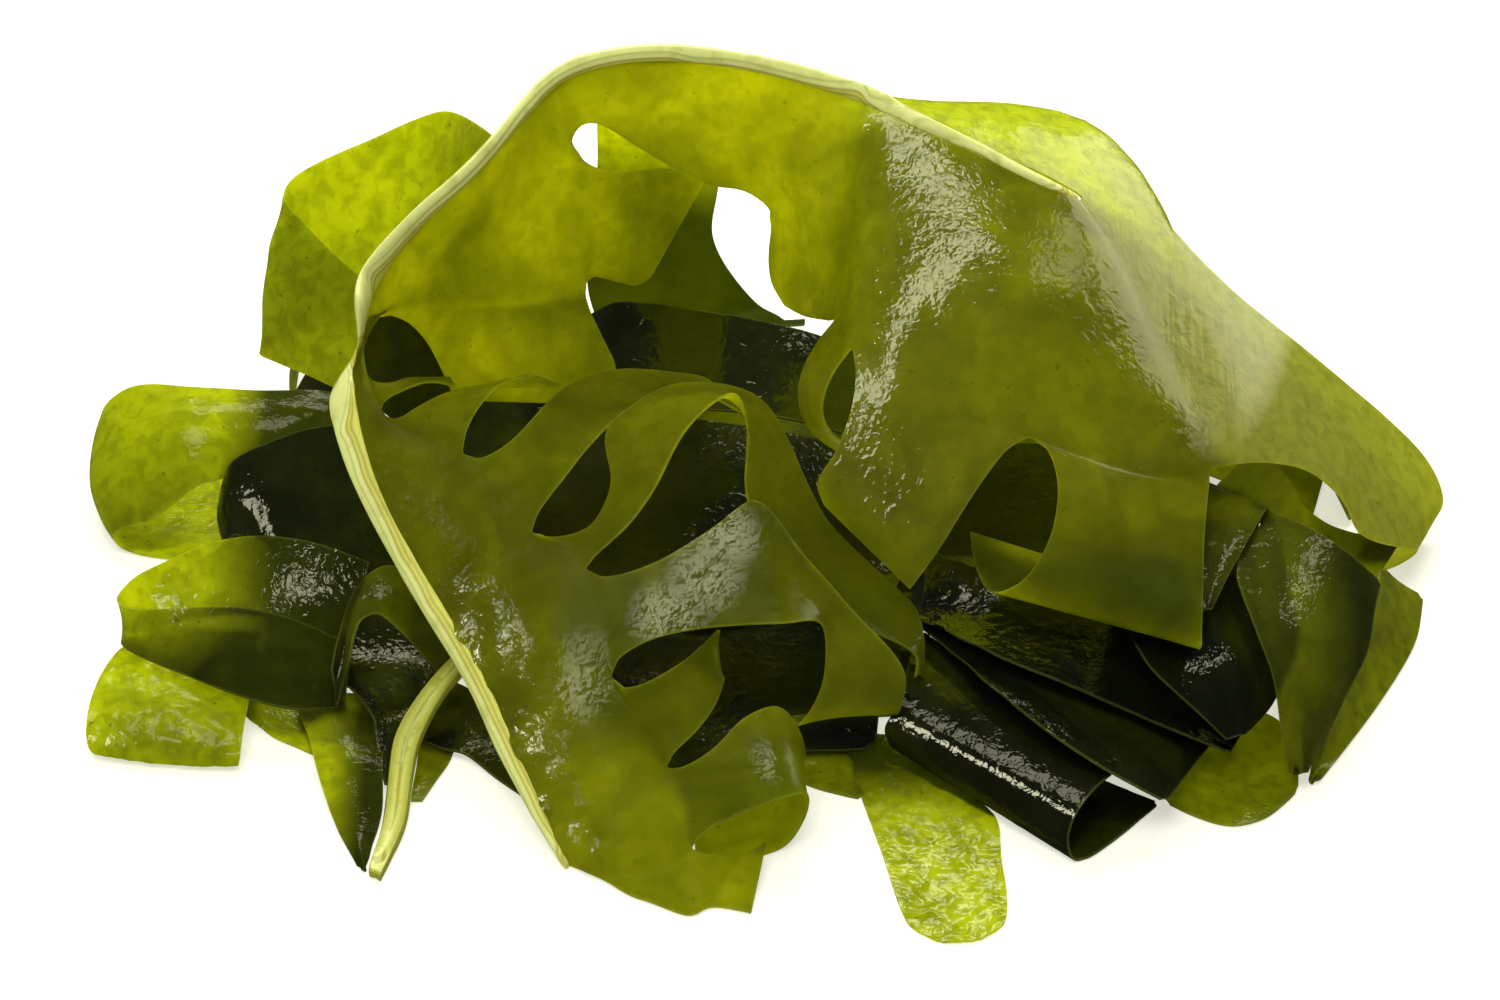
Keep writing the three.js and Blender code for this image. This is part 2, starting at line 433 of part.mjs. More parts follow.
// A strap between two edges, given as stations of [left, right] drawing points.
function strap({ stations, bow = 0, thickness = SHEET, columns = STRAP_COLUMNS, fine = ROWS_PER_STATION }) {
  const left = curveOf(stations.map(([point]) => seen(point, thickness / 2)));
  const right = curveOf(stations.map(([, point]) => seen(point, thickness / 2)));
  const rows = (stations.length - 1) * fine;
  const points = [];
  const quads = [];
  for (let row = 0; row <= rows; row++) {
    const { a, b, side } = rowAt(left, right, row / rows);
    for (let column = 0; column <= columns; column++) {
      const i = points.push(lift(bowed(a, b, column / columns, side, bow), thickness / 2)) - 1;
      if (row && column) quads.push([i - 1, i, i - columns - 1, i - columns - 2]);
    }
  }
  return thicken(points, quads, thickness);
}

// The blade's middle surface: webs between neighbouring partings, then a free lobe out of each web.
function bladeSurface() {
  const points = [];
  const quads = [];
  const add = (point) => points.push(lift(point)) - 1;
  const rim = curveOf(RIM.map((point) => seen(point)));
  const onRim = (place) => rim.getPoint(place / (RIM.length - 1));
  const lines = PARTINGS.map((parting) => {
    const line = curveOf([onRim(parting.rim), ...parting.line.map((point) => seen(point))]);
    return Array.from({ length: WEB_ROWS + 1 }, (_, row) => line.getPointAt(row / WEB_ROWS));
  });
  const lineIndices = lines.map((line) => line.map((point) => add(point.clone())));
  const ribSide = [];

  LOBES.forEach((lobe, k) => {
    const columns = lobe.columns ?? LOBE_COLUMNS;
    const shares = Array.from({ length: columns + 1 }, (_, column) => column / columns);
    const neighbours = [Math.max(k - 1, 0), k, k + 1, Math.min(k + 2, lines.length - 1)];
    // A smooth line across this lobe's web that runs on through its neighbours' webs.
    const across = (row, share) => {
      const four = neighbours.map((n) => lines[n][row].clone());
      if (k === 0) four[0].multiplyScalar(2).sub(lines[1][row]);
      if (k === LOBES.length - 1) four[3].multiplyScalar(2).sub(lines[k][row]);
      return curveOf(four).getPoint((1 + share) / 3);
    };
    const bottoms = [lines[k][WEB_ROWS], lines[k + 1][WEB_ROWS]];
    const hem = lobe.hem && curveOf([bottoms[0], ...lobe.hem.map((point) => seen(point)), bottoms[1]]);
    const rimPlace = (share) => THREE.MathUtils.lerp(PARTINGS[k].rim, PARTINGS[k + 1].rim, share);

    const grid = [];
    for (let row = 0; row <= WEB_ROWS; row++) {
      const out = row / WEB_ROWS;
      grid.push(shares.map((share, column) => {
        if (column === 0) return lineIndices[k][row];
        if (column === columns) return lineIndices[k + 1][row];
        const point = across(row, share);
        point.addScaledVector(onRim(rimPlace(share)).sub(across(0, share)), 1 - out);
        if (hem) point.addScaledVector(hem.getPoint(share).sub(across(WEB_ROWS, share)), out);
        return add(point);
      }));
    }
    if (!hem) {
      const left = curveOf([bottoms[0], ...lobe.from.map((point) => seen(point))]);
      const right = curveOf([bottoms[1], ...lobe.to.map((point) => seen(point))]);
      const rows = lobe.from.length * ROWS_PER_STATION;
      const sag = shares.map((share, column) =>
        points[grid[WEB_ROWS][column]].clone().sub(bottoms[0].clone().lerp(bottoms[1], share)));
      for (let row = 1; row <= rows; row++) {
        const { a, b, side } = rowAt(left, right, row / rows);
        const fade = Math.max(0, 1 - row / SAG_ROWS) ** 2;
        grid.push(shares.map((share, column) =>
          add(bowed(a, b, share, side, lobe.bow ?? 0).addScaledVector(sag[column], fade))));
      }
    }
    for (let row = 1; row < grid.length; row++) {
      for (let column = 1; column <= columns; column++) {
        const before = grid[row - 1];
        const here = grid[row];
        quads.push([before[column - 1], before[column], here[column], here[column - 1]]);
      }
    }
    shares.slice(0, -1).forEach((share, column) => {
      ribSide.push({ place: rimPlace(share), point: points[grid[0][column]], next: points[grid[1][column]] });
    });
  });
  return { points, quads, ribSide };
}

// The midrib: a flat rounded bar that follows the blade's edge as far as the end of the rib, at an even gap.
function midrib(ribSide) {
  const path = ribSide.filter(({ place }) => place < RIB.end);
  const points = [];
  const index = [];
  path.forEach(({ place, point, next }, i) => {
    const before = path[Math.max(i - 1, 0)].point;
    const after = path[Math.min(i + 1, path.length - 1)].point;
    const along = after.clone().sub(before).normalize();
    const out = point.clone().sub(next);
    out.addScaledVector(along, -out.dot(along)).normalize();
    const up = along.clone().cross(out);
    const half = ribWidth(place) / 2;
    const thick = Math.min(RIB.thickness / 2, half);
    const centre = point.clone().addScaledVector(out, half + RIB.gap);
    for (let side = 0; side < RIB.sides; side++) {
      const angle = (side / RIB.sides) * 2 * Math.PI;
      const corner = centre.clone();
      corner.addScaledVector(out, half * Math.cos(angle)).addScaledVector(up, thick * Math.sin(angle));
      points.push(corner.setZ(Math.max(corner.z, 0)));
      if (i === 0) continue;
      const turn = (side + 1) % RIB.sides;
      const back = (i - 1) * RIB.sides;
      const here = i * RIB.sides;
      index.push(back + side, back + turn, here + turn, back + side, here + turn, here + side);
    }
  });
  const last = points.length - RIB.sides;
  for (let side = 1; side < RIB.sides - 1; side++) {
    index.push(0, side + 1, side);
    index.push(last, last + side, last + side + 1);
  }
  return new THREE.BufferGeometry().setFromPoints(points).setIndex(index);
}

// The midrib's width at a place along RIM.
function ribWidth(place) {
  const i = Math.max(1, RIB_WIDTHS.findIndex(([at]) => at >= place));
  const [[from, narrow], [to, wide]] = [RIB_WIDTHS[i - 1], RIB_WIDTHS[i]];
  return THREE.MathUtils.mapLinear(place, from, to, narrow, wide);
}

const MATERIALS = {
  rib: new THREE.MeshStandardMaterial({ name: "rib", color: 0xb9b24a, roughness: 0.4 }),
  blade: new THREE.MeshStandardMaterial({ name: "blade", color: 0x6f8a1e, roughness: 0.3 }),
  bright: new THREE.MeshStandardMaterial({ name: "bright", color: 0x7d9a1f, roughness: 0.3 }),
  olive: new THREE.MeshStandardMaterial({ name: "olive", color: 0x5d6b1d, roughness: 0.35 }),
  dark: new THREE.MeshStandardMaterial({ name: "dark", color: 0x2c3d14, roughness: 0.3 }),
};

const heap = new THREE.Group();
heap.name = "kelp";
function place(name, geometry, slot) {
  geometry.computeVertexNormals();
  const mesh = new THREE.Mesh(geometry, MATERIALS[slot]);
  mesh.name = name;
  heap.add(mesh);
}

const surface = bladeSurface();
place("blade", thicken(surface.points, surface.quads, SHEET), "blade");
place("midrib", midrib(surface.ribSide), "rib");
for (const [name, piece] of Object.entries(STRAPS)) place(name, strap(piece), piece.slot);

const box = new THREE.Box3().setFromObject(heap, true);
const middle = box.getCenter(new THREE.Vector3());
heap.position.set(-middle.x, -middle.y, -box.min.z);

export default heap;
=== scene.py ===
# %% [markdown]
# # A heap of wet kelp
#
# The object is one kelp plant, freshly rinsed and dropped on a white table: a wide blade with
# a thick rib along one edge, its lobes, the stem, and the torn straps that lie under and round it.
# The solid model is loaded as a fixed frame, in metres, and every piece made here stands exactly
# where its solid stands.

# %% Load the solid model
import heapq
import math

import bmesh
import bpy
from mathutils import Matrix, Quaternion, Vector, noise
from mathutils.bvhtree import BVHTree
from mathutils.kdtree import KDTree


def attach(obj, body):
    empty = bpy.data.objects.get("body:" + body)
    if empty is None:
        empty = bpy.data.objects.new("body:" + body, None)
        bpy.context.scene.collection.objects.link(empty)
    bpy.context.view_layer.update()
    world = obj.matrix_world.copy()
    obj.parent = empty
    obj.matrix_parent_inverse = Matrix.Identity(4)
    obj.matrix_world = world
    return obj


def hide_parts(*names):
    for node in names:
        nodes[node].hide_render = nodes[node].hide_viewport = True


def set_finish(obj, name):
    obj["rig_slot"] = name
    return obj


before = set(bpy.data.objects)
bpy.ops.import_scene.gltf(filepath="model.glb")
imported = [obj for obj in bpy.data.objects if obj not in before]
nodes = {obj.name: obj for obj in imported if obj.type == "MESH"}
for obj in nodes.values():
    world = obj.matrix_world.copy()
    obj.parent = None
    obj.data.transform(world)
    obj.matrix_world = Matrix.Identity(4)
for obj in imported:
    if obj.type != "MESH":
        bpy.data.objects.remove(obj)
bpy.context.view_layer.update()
MM = 0.001
print("solid nodes:", len(nodes))

# %% [markdown]
# ## One skin of a leaf
#
# Each solid leaf is a thin closed plate: an upper skin, a lower skin and a narrow rim that joins
# them. A living leaf bends as one layer, so the wrinkles have to move both skins together. The way
# to that is to keep a single skin, shape it, and give it its thickness again at the very end.
# The rim is easy to find: only its faces hold an edge that is exactly as long as the plate is
# thick and that stands square on the skin.

# %% Take the upper skin off a solid
PLATE = 1.0 * MM
SAME_LENGTH = 0.002 * MM
SAME_PLACE = 0.02 * MM
SQUARE_ON = 0.6


def stands_on_skin(edge):
    """True where an edge runs through the plate, from one skin to the other."""
    along = (edge.verts[1].co - edge.verts[0].co).normalized()
    for vert in edge.verts:
        skin = Vector()
        for face in vert.link_faces:
            if edge not in face.edges[:]:
                skin += face.normal
        if skin.length > 0 and abs(skin.normalized().dot(along)) > SQUARE_ON:
            return True
    return False


def islands(bm):
    """The connected groups of faces, the largest last."""
    groups, seen = [], set()
    for start in bm.faces:
        if start in seen:
            continue
        seen.add(start)
        group = [start]
        for face in group:
            for edge in face.edges:
                fresh = [f for f in edge.link_faces if f not in seen]
                seen.update(fresh)
                group.extend(fresh)
        groups.append(group)
    return sorted(groups, key=len)


GRID_PULL = 1.5


def join_to_quads(bm):
    """Turns the loose triangles into a grid of quads, which smooths evenly."""
    bmesh.ops.join_triangles(
        bm,
        faces=bm.faces,
        angle_face_threshold=math.pi,
        angle_shape_threshold=math.pi,
        topology_influence=GRID_PULL,
    )


def take_skin(name, plate):
    """One skin of a leaf, as quads, moved to the middle of the plate."""
    bm = bmesh.new()
    bm.from_mesh(nodes[name].data)
    bmesh.ops.remove_doubles(bm, verts=bm.verts, dist=SAME_PLACE)
    bm.normal_update()
    through = [e for e in bm.edges if abs(e.calc_length() - plate) < SAME_LENGTH and stands_on_skin(e)]
    rim = {f for e in through for f in e.link_faces}
    bmesh.ops.delete(bm, geom=list(rim), context="FACES")
    under = [f for group in islands(bm)[:-1] for f in group]
    bmesh.ops.delete(bm, geom=under, context="FACES")
    bm.normal_update()
    for vert in bm.verts:
        vert.co -= vert.normal * plate / 2
    join_to_quads(bm)
    return bm


trial = take_skin("strap_tongue", PLATE)
print("skin of strap_tongue:", len(trial.faces), "faces")
trial.free()

# %% [markdown]
# ## A smooth surface through the solid's own points
#
# The solids are faceted, and a leaf isn't. A Subdivision Surface rounds the facets, but it also
# cuts every corner of its cage, so a loop would shrink and a tip would pull in. The cage is
# therefore pushed out by as much as the smooth surface fell short, a few times over, until the
# surface runs through the points the solid model placed. Cut ends keep their corners.

# %% Smooth a skin without letting it shrink
FIT_ROUNDS = 3
COARSE_EDGE = 9.0 * MM


def smoothed(obj):
    """The mesh of an object with its modifiers applied."""
    graph = bpy.context.evaluated_depsgraph_get()
    return bpy.data.meshes.new_from_object(obj.evaluated_get(graph))


def split_long_edges(bm, longest):
    """Halves the edges that are too long, on a curve rather than on a straight line."""
    long_edges = [e for e in bm.edges if e.calc_length() > longest]
    if long_edges:
        bmesh.ops.subdivide_edges(bm, edges=long_edges, cuts=1, smooth=1.0, use_grid_fill=True)


def smooth_skin(name, bm, levels):
    """A fine mesh that passes through the points of the coarse skin."""
    cage = bpy.data.meshes.new(name + "_cage")
    bm.to_mesh(cage)
    bm.free()
    obj = bpy.data.objects.new(name + "_cage", cage)
    bpy.context.scene.collection.objects.link(obj)
    rounding = obj.modifiers.new("rounding", "SUBSURF")
    rounding.boundary_smooth = "PRESERVE_CORNERS"
    goal = [v.co.copy() for v in cage.vertices]
    rounding.levels = rounding.render_levels = 1
    for _ in range(FIT_ROUNDS):
        reached = smoothed(obj)
        for vert, place in zip(cage.vertices, goal):
            vert.co += place - reached.vertices[vert.index].co
        bpy.data.meshes.remove(reached)
        cage.update()
    rounding.levels = rounding.render_levels = levels
    fine = smoothed(obj)
    bpy.data.objects.remove(obj)
    bpy.data.meshes.remove(cage)
    fine.name = name
    return fine


print("edges longer than", COARSE_EDGE / MM, "mm are halved first")

# %% [markdown]
# ## The way to the cut edge
#
# A cut edge of kelp catches the light in a thin pale line, and the finish paints that line on as a
# highlight, so it has to know where the edges are. Paint could mark them by hand. Here each point walks
# along the surface to the nearest edge instead and keeps the length of the way, in millimetres. That is
# right on folded leaves too, where the straight line to the edge would be too short.

# %% Walk to the edge
EDGE_REACH = 15.0 * MM


def walk_from(bm, starts, reach):
    """The shortest way along the mesh from the start points, for each vertex, up to a reach."""
    far = [reach] * len(bm.verts)
    queue = []
    for vert in starts:
        far[vert.index] = 0.0
        queue.append((0.0, vert.index))
    heapq.heapify(queue)
    while queue:
        way, index = heapq.heappop(queue)
        if way > far[index]:
            continue
        for edge in bm.verts[index].link_edges:
            other = edge.other_vert(bm.verts[index])
            longer = way + edge.calc_length()
            if longer < far[other.index]:
                far[other.index] = longer
                heapq.heappush(queue, (longer, other.index))
    return far


print("edges are felt for", EDGE_REACH / MM, "mm")

# %% [markdown]
# ## Waves and wrinkles
#
# A wet leaf is never a clean curve. Broad waves let the highlights wander, and short creases break
# them up. A bump in the finish could fake both, but a shape this size shows in the outline and in
# the shadows, so both are heights that push the mesh. The finest wrinkles are left to the finish.
# The vector noise that bends the creases starts from the clock unless it gets a seed, so it gets one,
# and every run makes the same leaves.

# %% Heights and settling
WRINKLE_SEED = 7
BEND = 0.5
CREASE_LEVEL = 0.75
HALF_WAY = 0.5
noise.seed_set(WRINKLE_SEED)


def crease(place, size):
    """Noise with sharp ridges, from 0 in the valleys to 1 on the ridges."""
    return 1.0 - abs(noise.noise(place / size))


def wave_height(place, wave, wave_size, wrinkle, wrinkle_size):
    """How far a point of a leaf is pushed out by its waves and its wrinkles."""
    bend = noise.noise_vector(place / (2 * wrinkle_size)) * wrinkle_size * BEND
    ridges = crease(place + bend, wrinkle_size) - CREASE_LEVEL
    return wave * noise.noise(place / wave_size) + wrinkle * ridges


def relax_points(bm, verts, rounds):
    """Lets points settle between their neighbours, which irons out kinks."""
    axes = {"use_axis_x": True, "use_axis_y": True, "use_axis_z": True}
    for _ in range(rounds):
        bmesh.ops.smooth_vert(bm, verts=verts, factor=HALF_WAY, **axes)


def widen_edges(bm, wider):
    """Moves the cut edge outwards along the skin, away from the points next to it."""
    moves = {}
    for vert in bm.verts:
        inner = [e.other_vert(vert).co for e in vert.link_edges if not e.is_boundary]
        if vert.is_boundary and inner:
            moves[vert] = (vert.co - sum(inner, Vector()) / len(inner)).normalized() * wider
    for vert, move in moves.items():
        vert.co += move


print("crease at one place:", round(crease(Vector((0.01, 0.02, 0.0)), 6 * MM), 2))

# %% [markdown]
# ## One wrinkled skin
#
# The order matters: the points settle first, then the edge moves out, and the waves come last, along
# the normals, so that nothing irons them out again. No point goes below half the leaf's thickness,
# because the leaf lies on the table. The boundary stays sharp, or the thin rim would shade like
# a rounded bead.

# %% Wrinkle a skin
CALM_ROUNDS = 30


def wrinkle_skin(
    mesh, floor, relax=10, calm=None, wave=0.25 * MM, wave_size=30 * MM, wrinkle=0.08 * MM,
    wrinkle_size=6 * MM, wider=0.0,
):
    """Pushes the waves into a fine skin and stores each point's distance from the cut edge."""
    bm = bmesh.new()
    bm.from_mesh(mesh)
    bm.verts.ensure_lookup_table()
    inner = [v for v in bm.verts if not v.is_boundary]
    relax_points(bm, inner, relax)
    widen_edges(bm, wider)
    if calm:
        relax_points(bm, [v for v in inner if calm(v.co)], CALM_ROUNDS)
    bm.normal_update()
    edge_far = walk_from(bm, [v for v in bm.verts if v.is_boundary], EDGE_REACH)
    pushes = [wave_height(v.co, wave, wave_size, wrinkle, wrinkle_size) for v in bm.verts]
    for vert, push in zip(bm.verts, pushes):
        vert.co += vert.normal * push
        vert.co.z = max(vert.co.z, floor)
    layer = bm.verts.layers.float.new("from_edge")
    for vert in bm.verts:
        vert[layer] = edge_far[vert.index] / MM
    for edge in bm.edges:
        edge.smooth = not edge.is_boundary
    for face in bm.faces:
        face.smooth = True
    bm.to_mesh(mesh)
    bm.free()


print("the calm part settles for", CALM_ROUNDS, "rounds")

# %% [markdown]
# ## From skin to piece
#
# The last step gives the skin its thickness with a Solidify modifier, half to each side, and tells
# the frame which solid the piece stands for and which finish it takes. Real kelp is thinner than
# the solid plate, and a thin edge catches the light in a finer line.

# %% Make a leaf from its solid
LEAF = 0.5 * MM
pieces = {}


def place_piece(piece, node, finish):
    """Rides the piece on the part and lets it stand for its solid."""
    bpy.context.scene.collection.objects.link(piece)
    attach(piece, "root")
    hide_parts(node)
    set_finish(piece, finish)
    pieces[node] = piece


def make_leaf(node, finish, levels=3, leaf=LEAF, plate=PLATE, prepare=None, **waves):
    """A smooth, wrinkled, thin leaf in the place of a solid plate."""
    bm = take_skin(node, plate)
    if prepare:
        prepare(bm)
    split_long_edges(bm, COARSE_EDGE)
    mesh = smooth_skin(node + "_skin", bm, levels)
    wrinkle_skin(mesh, leaf / 2, **waves)
    piece = bpy.data.objects.new(node + "_skin", mesh)
    body = piece.modifiers.new("body", "SOLIDIFY")
    body.thickness = leaf
    body.offset = 0.0
    place_piece(piece, node, finish)
    return piece


print("leaf thickness:", LEAF / MM, "mm")

# %% [markdown]
# ## The blade
#
# The blade is the one wide leaf that swings over the heap from the left, across the top and down
# the right, with its lobes hanging inwards. The lobes could be pieces of their own, but it is a single
# grown sheet, so it stays one mesh without seams. It grows out of the rib, and the solids keep a hair
# of air between the two, so the edge of the blade that faces the rib is drawn into it.

# %% The blade
RIB_REACH = 4.5 * MM
RIB_SIDES = 6
RIB_RINGS = 4
TUCK = 0.6


def point_tree(points):
    """A search tree over a list of points."""
    tree = KDTree(len(points))
    for index, point in enumerate(points):
        tree.insert(point, index)
    tree.balance()
    return tree


def tuck_into_rib(bm):
    """Draws the edge of the blade that runs beside the rib into the rib."""
    tree = point_tree([v.co for v in nodes["midrib"].data.vertices])
    for vert in bm.verts:
        if vert.is_boundary and tree.find(vert.co)[2] < RIB_REACH:
            near = [co for co, _, _ in tree.find_n(vert.co, RIB_RINGS * RIB_SIDES)]
            vert.co = vert.co.lerp(sum(near, Vector()) / len(near), TUCK)


RIGHT_SLOPE = 22 * MM
BLADE_RELAX = 5
BLADE_WAVE = 0.2 * MM


def left_of_slope(place):
    """True on the broad smooth part of the blade, away from the creased slope at the right."""
    return place.x < RIGHT_SLOPE


blade = make_leaf(
    "blade", "blade", levels=2, prepare=tuck_into_rib,
    relax=BLADE_RELAX, calm=left_of_slope, wave=BLADE_WAVE,
)
print("blade:", len(blade.data.vertices), "points")

# %% [markdown]
# ## The straps
#
# The rest of the heap is torn straps of the same plant. They could be drawn one by one, but they are
# all made alike, so one loop makes them and short tables hold what differs. Most are smooth. The ones
# that lie wet on the table are blistered, with deeper and shorter wrinkles on a finer mesh. Some lie
# a little wider than their solids, to close the cracks between them.

# %% The straps
# The three lists pick the finish of each strap: the olive and dark finishes are darker versions of the
# bright one, painted shade for straps lower in the heap.
BRIGHT = [
    "left_tongue", "left_foot", "left_floor", "tongue", "tent", "twist",
    "right_floor", "back_left", "back_leaf",
]
OLIVE_HALF_SHADED = [
    "left_arch", "left_hoop", "stipe_shade", "olive_end", "wing_lining",
    "coil_left", "coil_right", "back_floor", "back_right",
]
DARK_SHADED = [
    "left_hollow", "left_point", "rib_shade", "roll", "flat", "ridge", "sling", "right_wall",
    "back_dark", "inner_upper", "inner_lower", "left_inner", "back_shade", "bed_middle", "bed_front",
]
BLISTER_DEPTH = {
    "tongue": 0.3 * MM, "left_foot": 0.3 * MM, "left_arch": 0.1 * MM, "left_hollow": 0.2 * MM,
    "roll": 0.1 * MM, "ridge": 0.12 * MM, "flat": 0.1 * MM, "sling": 0.12 * MM, "twist": 0.1 * MM,
}
BLISTER_SIZE = 3.2 * MM
WIDER = {
    "left_point": 1.0 * MM, "left_inner": 1.2 * MM, "flat": 0.8 * MM, "ridge": 0.8 * MM,
    "roll": 0.6 * MM, "tongue": 0.5 * MM, "olive_end": 0.8 * MM, "right_wall": 1.0 * MM,
    "twist": 0.6 * MM, "inner_lower": 1.2 * MM, "right_floor": 0.8 * MM,
}


def strap_shape(strap):
    """What differs on one strap: its wrinkles if it is blistered, and how much wider it lies."""
    shape = {"wider": WIDER.get(strap, 0.0)}
    if strap in BLISTER_DEPTH:
        shape.update(levels=4, wrinkle=BLISTER_DEPTH[strap], wrinkle_size=BLISTER_SIZE)
    return shape


for finish, straps in (("bright", BRIGHT), ("olive", OLIVE_HALF_SHADED), ("dark", DARK_SHADED)):
    for strap in straps:
        make_leaf("strap_" + strap, finish, **strap_shape(strap))
    print(finish, "straps:", len(straps))

# %% [markdown]
# ## The stem
#
# The stem is a flat fleshy band, more than three times as thick as a leaf. A bevelled curve would make
# it too, but its solid is a plate already, so it is made like a leaf, and a Subdivision Surface after
# the thickness rounds its edges. Each point keeps how far it lies across the band, for the finish.

# %% The stem
STEM_PLATE = 1.8 * MM
STEM_HALF = 3.5


def mark_points(mesh, name, values):
    """Stores one value for each point of a mesh."""
    mesh.attributes.new(name, "FLOAT", "POINT").data.foreach_set("value", values)


stem = make_leaf(
    "stipe", "rib", levels=3, leaf=STEM_PLATE, plate=STEM_PLATE, wave=0.1 * MM, wrinkle=0.05 * MM
)
rounding = stem.modifiers.new("rounding", "SUBSURF")
rounding.levels = rounding.render_levels = 1
inwards = [far.value / STEM_HALF for far in stem.data.attributes["from_edge"].data]
mark_points(stem.data, "across", inwards)
print("stem:", len(stem.data.vertices), "points")

# %% [markdown]
# ## The rib
#
# The rib is the thick band along the outer edge of the blade, a flattened tube with fine grooves along
# it. The solid is a tube of six sides. It is merged, joined to quads and rounded, and each point
# learns how far it lies towards the blade, because the inner side is yellow and the outer side a pale
# grey green. The grooves could be a bump, but the rounded mesh is fine enough to hold them, so they
# move its points: noise that changes fast across the rib and slowly along it.

# %% The rib
GROOVE = 0.1 * MM
GROOVE_PITCH = 0.02
GROOVE_LENGTH = 24 * MM
BAND_HALF = 3.0 * MM
FLESH = 1.18
MIDDLE_ROUNDS = 40
BLADE_POINTS = 40
RIB_LEVELS = 3


def neighbour_means(bm, values, rounds):
    """Evens out one vector for each point by taking the mean of its neighbours, again and again."""
    for _ in range(rounds):
        values = [
            sum((values[e.other_vert(v).index] for e in v.link_edges), Vector()) / len(v.link_edges)
            for v in bm.verts
        ]
    return values


def store_band(bm, layer):
    """Writes less than a half on the outer side of the rib, more on the blade's side, and fattens it."""
    blade_tree = point_tree([v.co for v in blade.data.vertices])
    middles = neighbour_means(bm, [v.co.copy() for v in bm.verts], MIDDLE_ROUNDS)
    inwards = []
    for middle in middles:
        beside_it = [co for co, _, _ in blade_tree.find_n(middle, BLADE_POINTS)]
        inwards.append((sum(beside_it, Vector()) / len(beside_it) - middle).normalized())
    inwards = neighbour_means(bm, inwards, MIDDLE_ROUNDS)
    for vert, middle, inward in zip(bm.verts, middles, inwards):
        vert[layer] = 0.5 + 0.5 * (vert.co - middle).dot(inward.normalized()) / BAND_HALF
        vert.co = middle + (vert.co - middle) * FLESH


def make_rib():
    """A smooth grooved tube in the place of the six-sided one."""
    bm = bmesh.new()
    bm.from_mesh(nodes["midrib"].data)
    bmesh.ops.remove_doubles(bm, verts=bm.verts, dist=SAME_PLACE)
    join_to_quads(bm)
    mesh = smooth_skin("midrib_skin", bm, RIB_LEVELS)
    bm = bmesh.new()
    bm.from_mesh(mesh)
    bm.normal_update()
    band = bm.verts.layers.float.new("band")
    store_band(bm, band)
    for vert in bm.verts:
        along = vert.co / GROOVE_LENGTH
        groove = noise.noise(Vector((vert[band] / GROOVE_PITCH, along.x, along.z)))
        vert.co += vert.normal * GROOVE * groove
        vert.co.z = max(vert.co.z, 0.0)
    for face in bm.faces:
        face.smooth = True
    bm.to_mesh(mesh)
    bm.free()
    piece = bpy.data.objects.new("midrib_skin", mesh)
    place_piece(piece, "midrib", "rib")
    return piece


rib = make_rib()
print("rib:", len(rib.data.vertices), "points")

# %% [markdown]
# ## How many leaves lie together
#
# Kelp lets light through, so a single leaf on a white table glows and a stack of them is nearly
# black. The renderer would find some of that by itself, and the finish paints the rest on: the deep
# green of stacked leaves is painted shade. Each point looks along its normal, both ways, for the next
# leaves, and stores how much they shade it: a leaf that touches counts in full, one further off counts
# less. The blade spans the heap, so it looks a little further, and only at what lies beneath it. Some
# straps also run under the heap, and they and the front of the blade get more painted shade along a
# line from a bright place to a deep one.

# %% Measure the stack
LOOK = 80 * MM
NEAR = 11 * MM
NEAR_BLADE = 14 * MM
STEP_OFF = 0.8 * MM
LAYERS = 2
SOFTEN = 4
# Painted shade: LIFTED weakens it on a few straps, and the bright and deep ends add more along a line,
# END_DEPTH scaling that on the blade.
LIFTED = {
    "strap_left_foot": 0.2, "strap_back_left": 0.0, "strap_left_point": 0.3, "strap_right_floor": 0.3,
}
END_DEPTH = {"blade": 0.2}
DEEP_ENDS = {
    "blade": ((30, -5, 0), (15, -45, 0)),
    "strap_twist": ((100, 0, 0), (124, 0, 0)),
    "strap_left_tongue": ((-116, 0, 0), (-105, 0, 0)),
    "strap_left_arch": ((-118, 0, 0), (-98, 0, 0)),
    "strap_left_point": ((-88, 0, 0), (-78, 0, 0)),
    "strap_tongue": ((0, -74, 0), (0, -54, 0)),
    "strap_back_leaf": ((0, 0, 62), (0, 0, 38)),
}


def end_shade(node, place):
    """Painted shade, 0 to 1 along the line from the bright end of a leaf to its covered end."""
    if node not in DEEP_ENDS:
        return 0.0
    bright_end, deep_end = (Vector(end) * MM for end in DEEP_ENDS[node])
    along = deep_end - bright_end
    axis = along.normalized()
    share = (place.dot(axis) - bright_end.dot(axis)) / along.length
    return min(max(share, 0.0), 1.0) * END_DEPTH.get(node, 1.0)


def leaf_pieces():
    """The pieces that are leaves, by node, without the rib and the stem."""
    return {n: p for n, p in pieces.items() if n not in ("midrib", "stipe")}


def all_leaves():
    """One search tree over the skins of all the leaves."""
    corners, faces = [], []
    for piece in leaf_pieces().values():
        first = len(corners)
        corners += [v.co.copy() for v in piece.data.vertices]
        faces += [[first + i for i in f.vertices] for f in piece.data.polygons]
    return BVHTree.FromPolygons(corners, faces)


def shade_from(tree, place, way, near):
    """How much the next two leaves that way shade a point."""
    total, gone = 0.0, STEP_OFF
    for _ in range(LAYERS):
        hit, _, _, far = tree.ray_cast(place + way * gone, way, LOOK - gone)
        if hit is None:
            break
        gone += far + STEP_OFF
        total += math.exp(-gone / near)
    return total


def shade_below(tree, place, normal, near):
    """How much the leaves beneath a sloping point shade it: a level leaf in full, a steep one less."""
    down = normal if normal.z < 0 else -normal
    return -down.z * shade_from(tree, place, down, near)


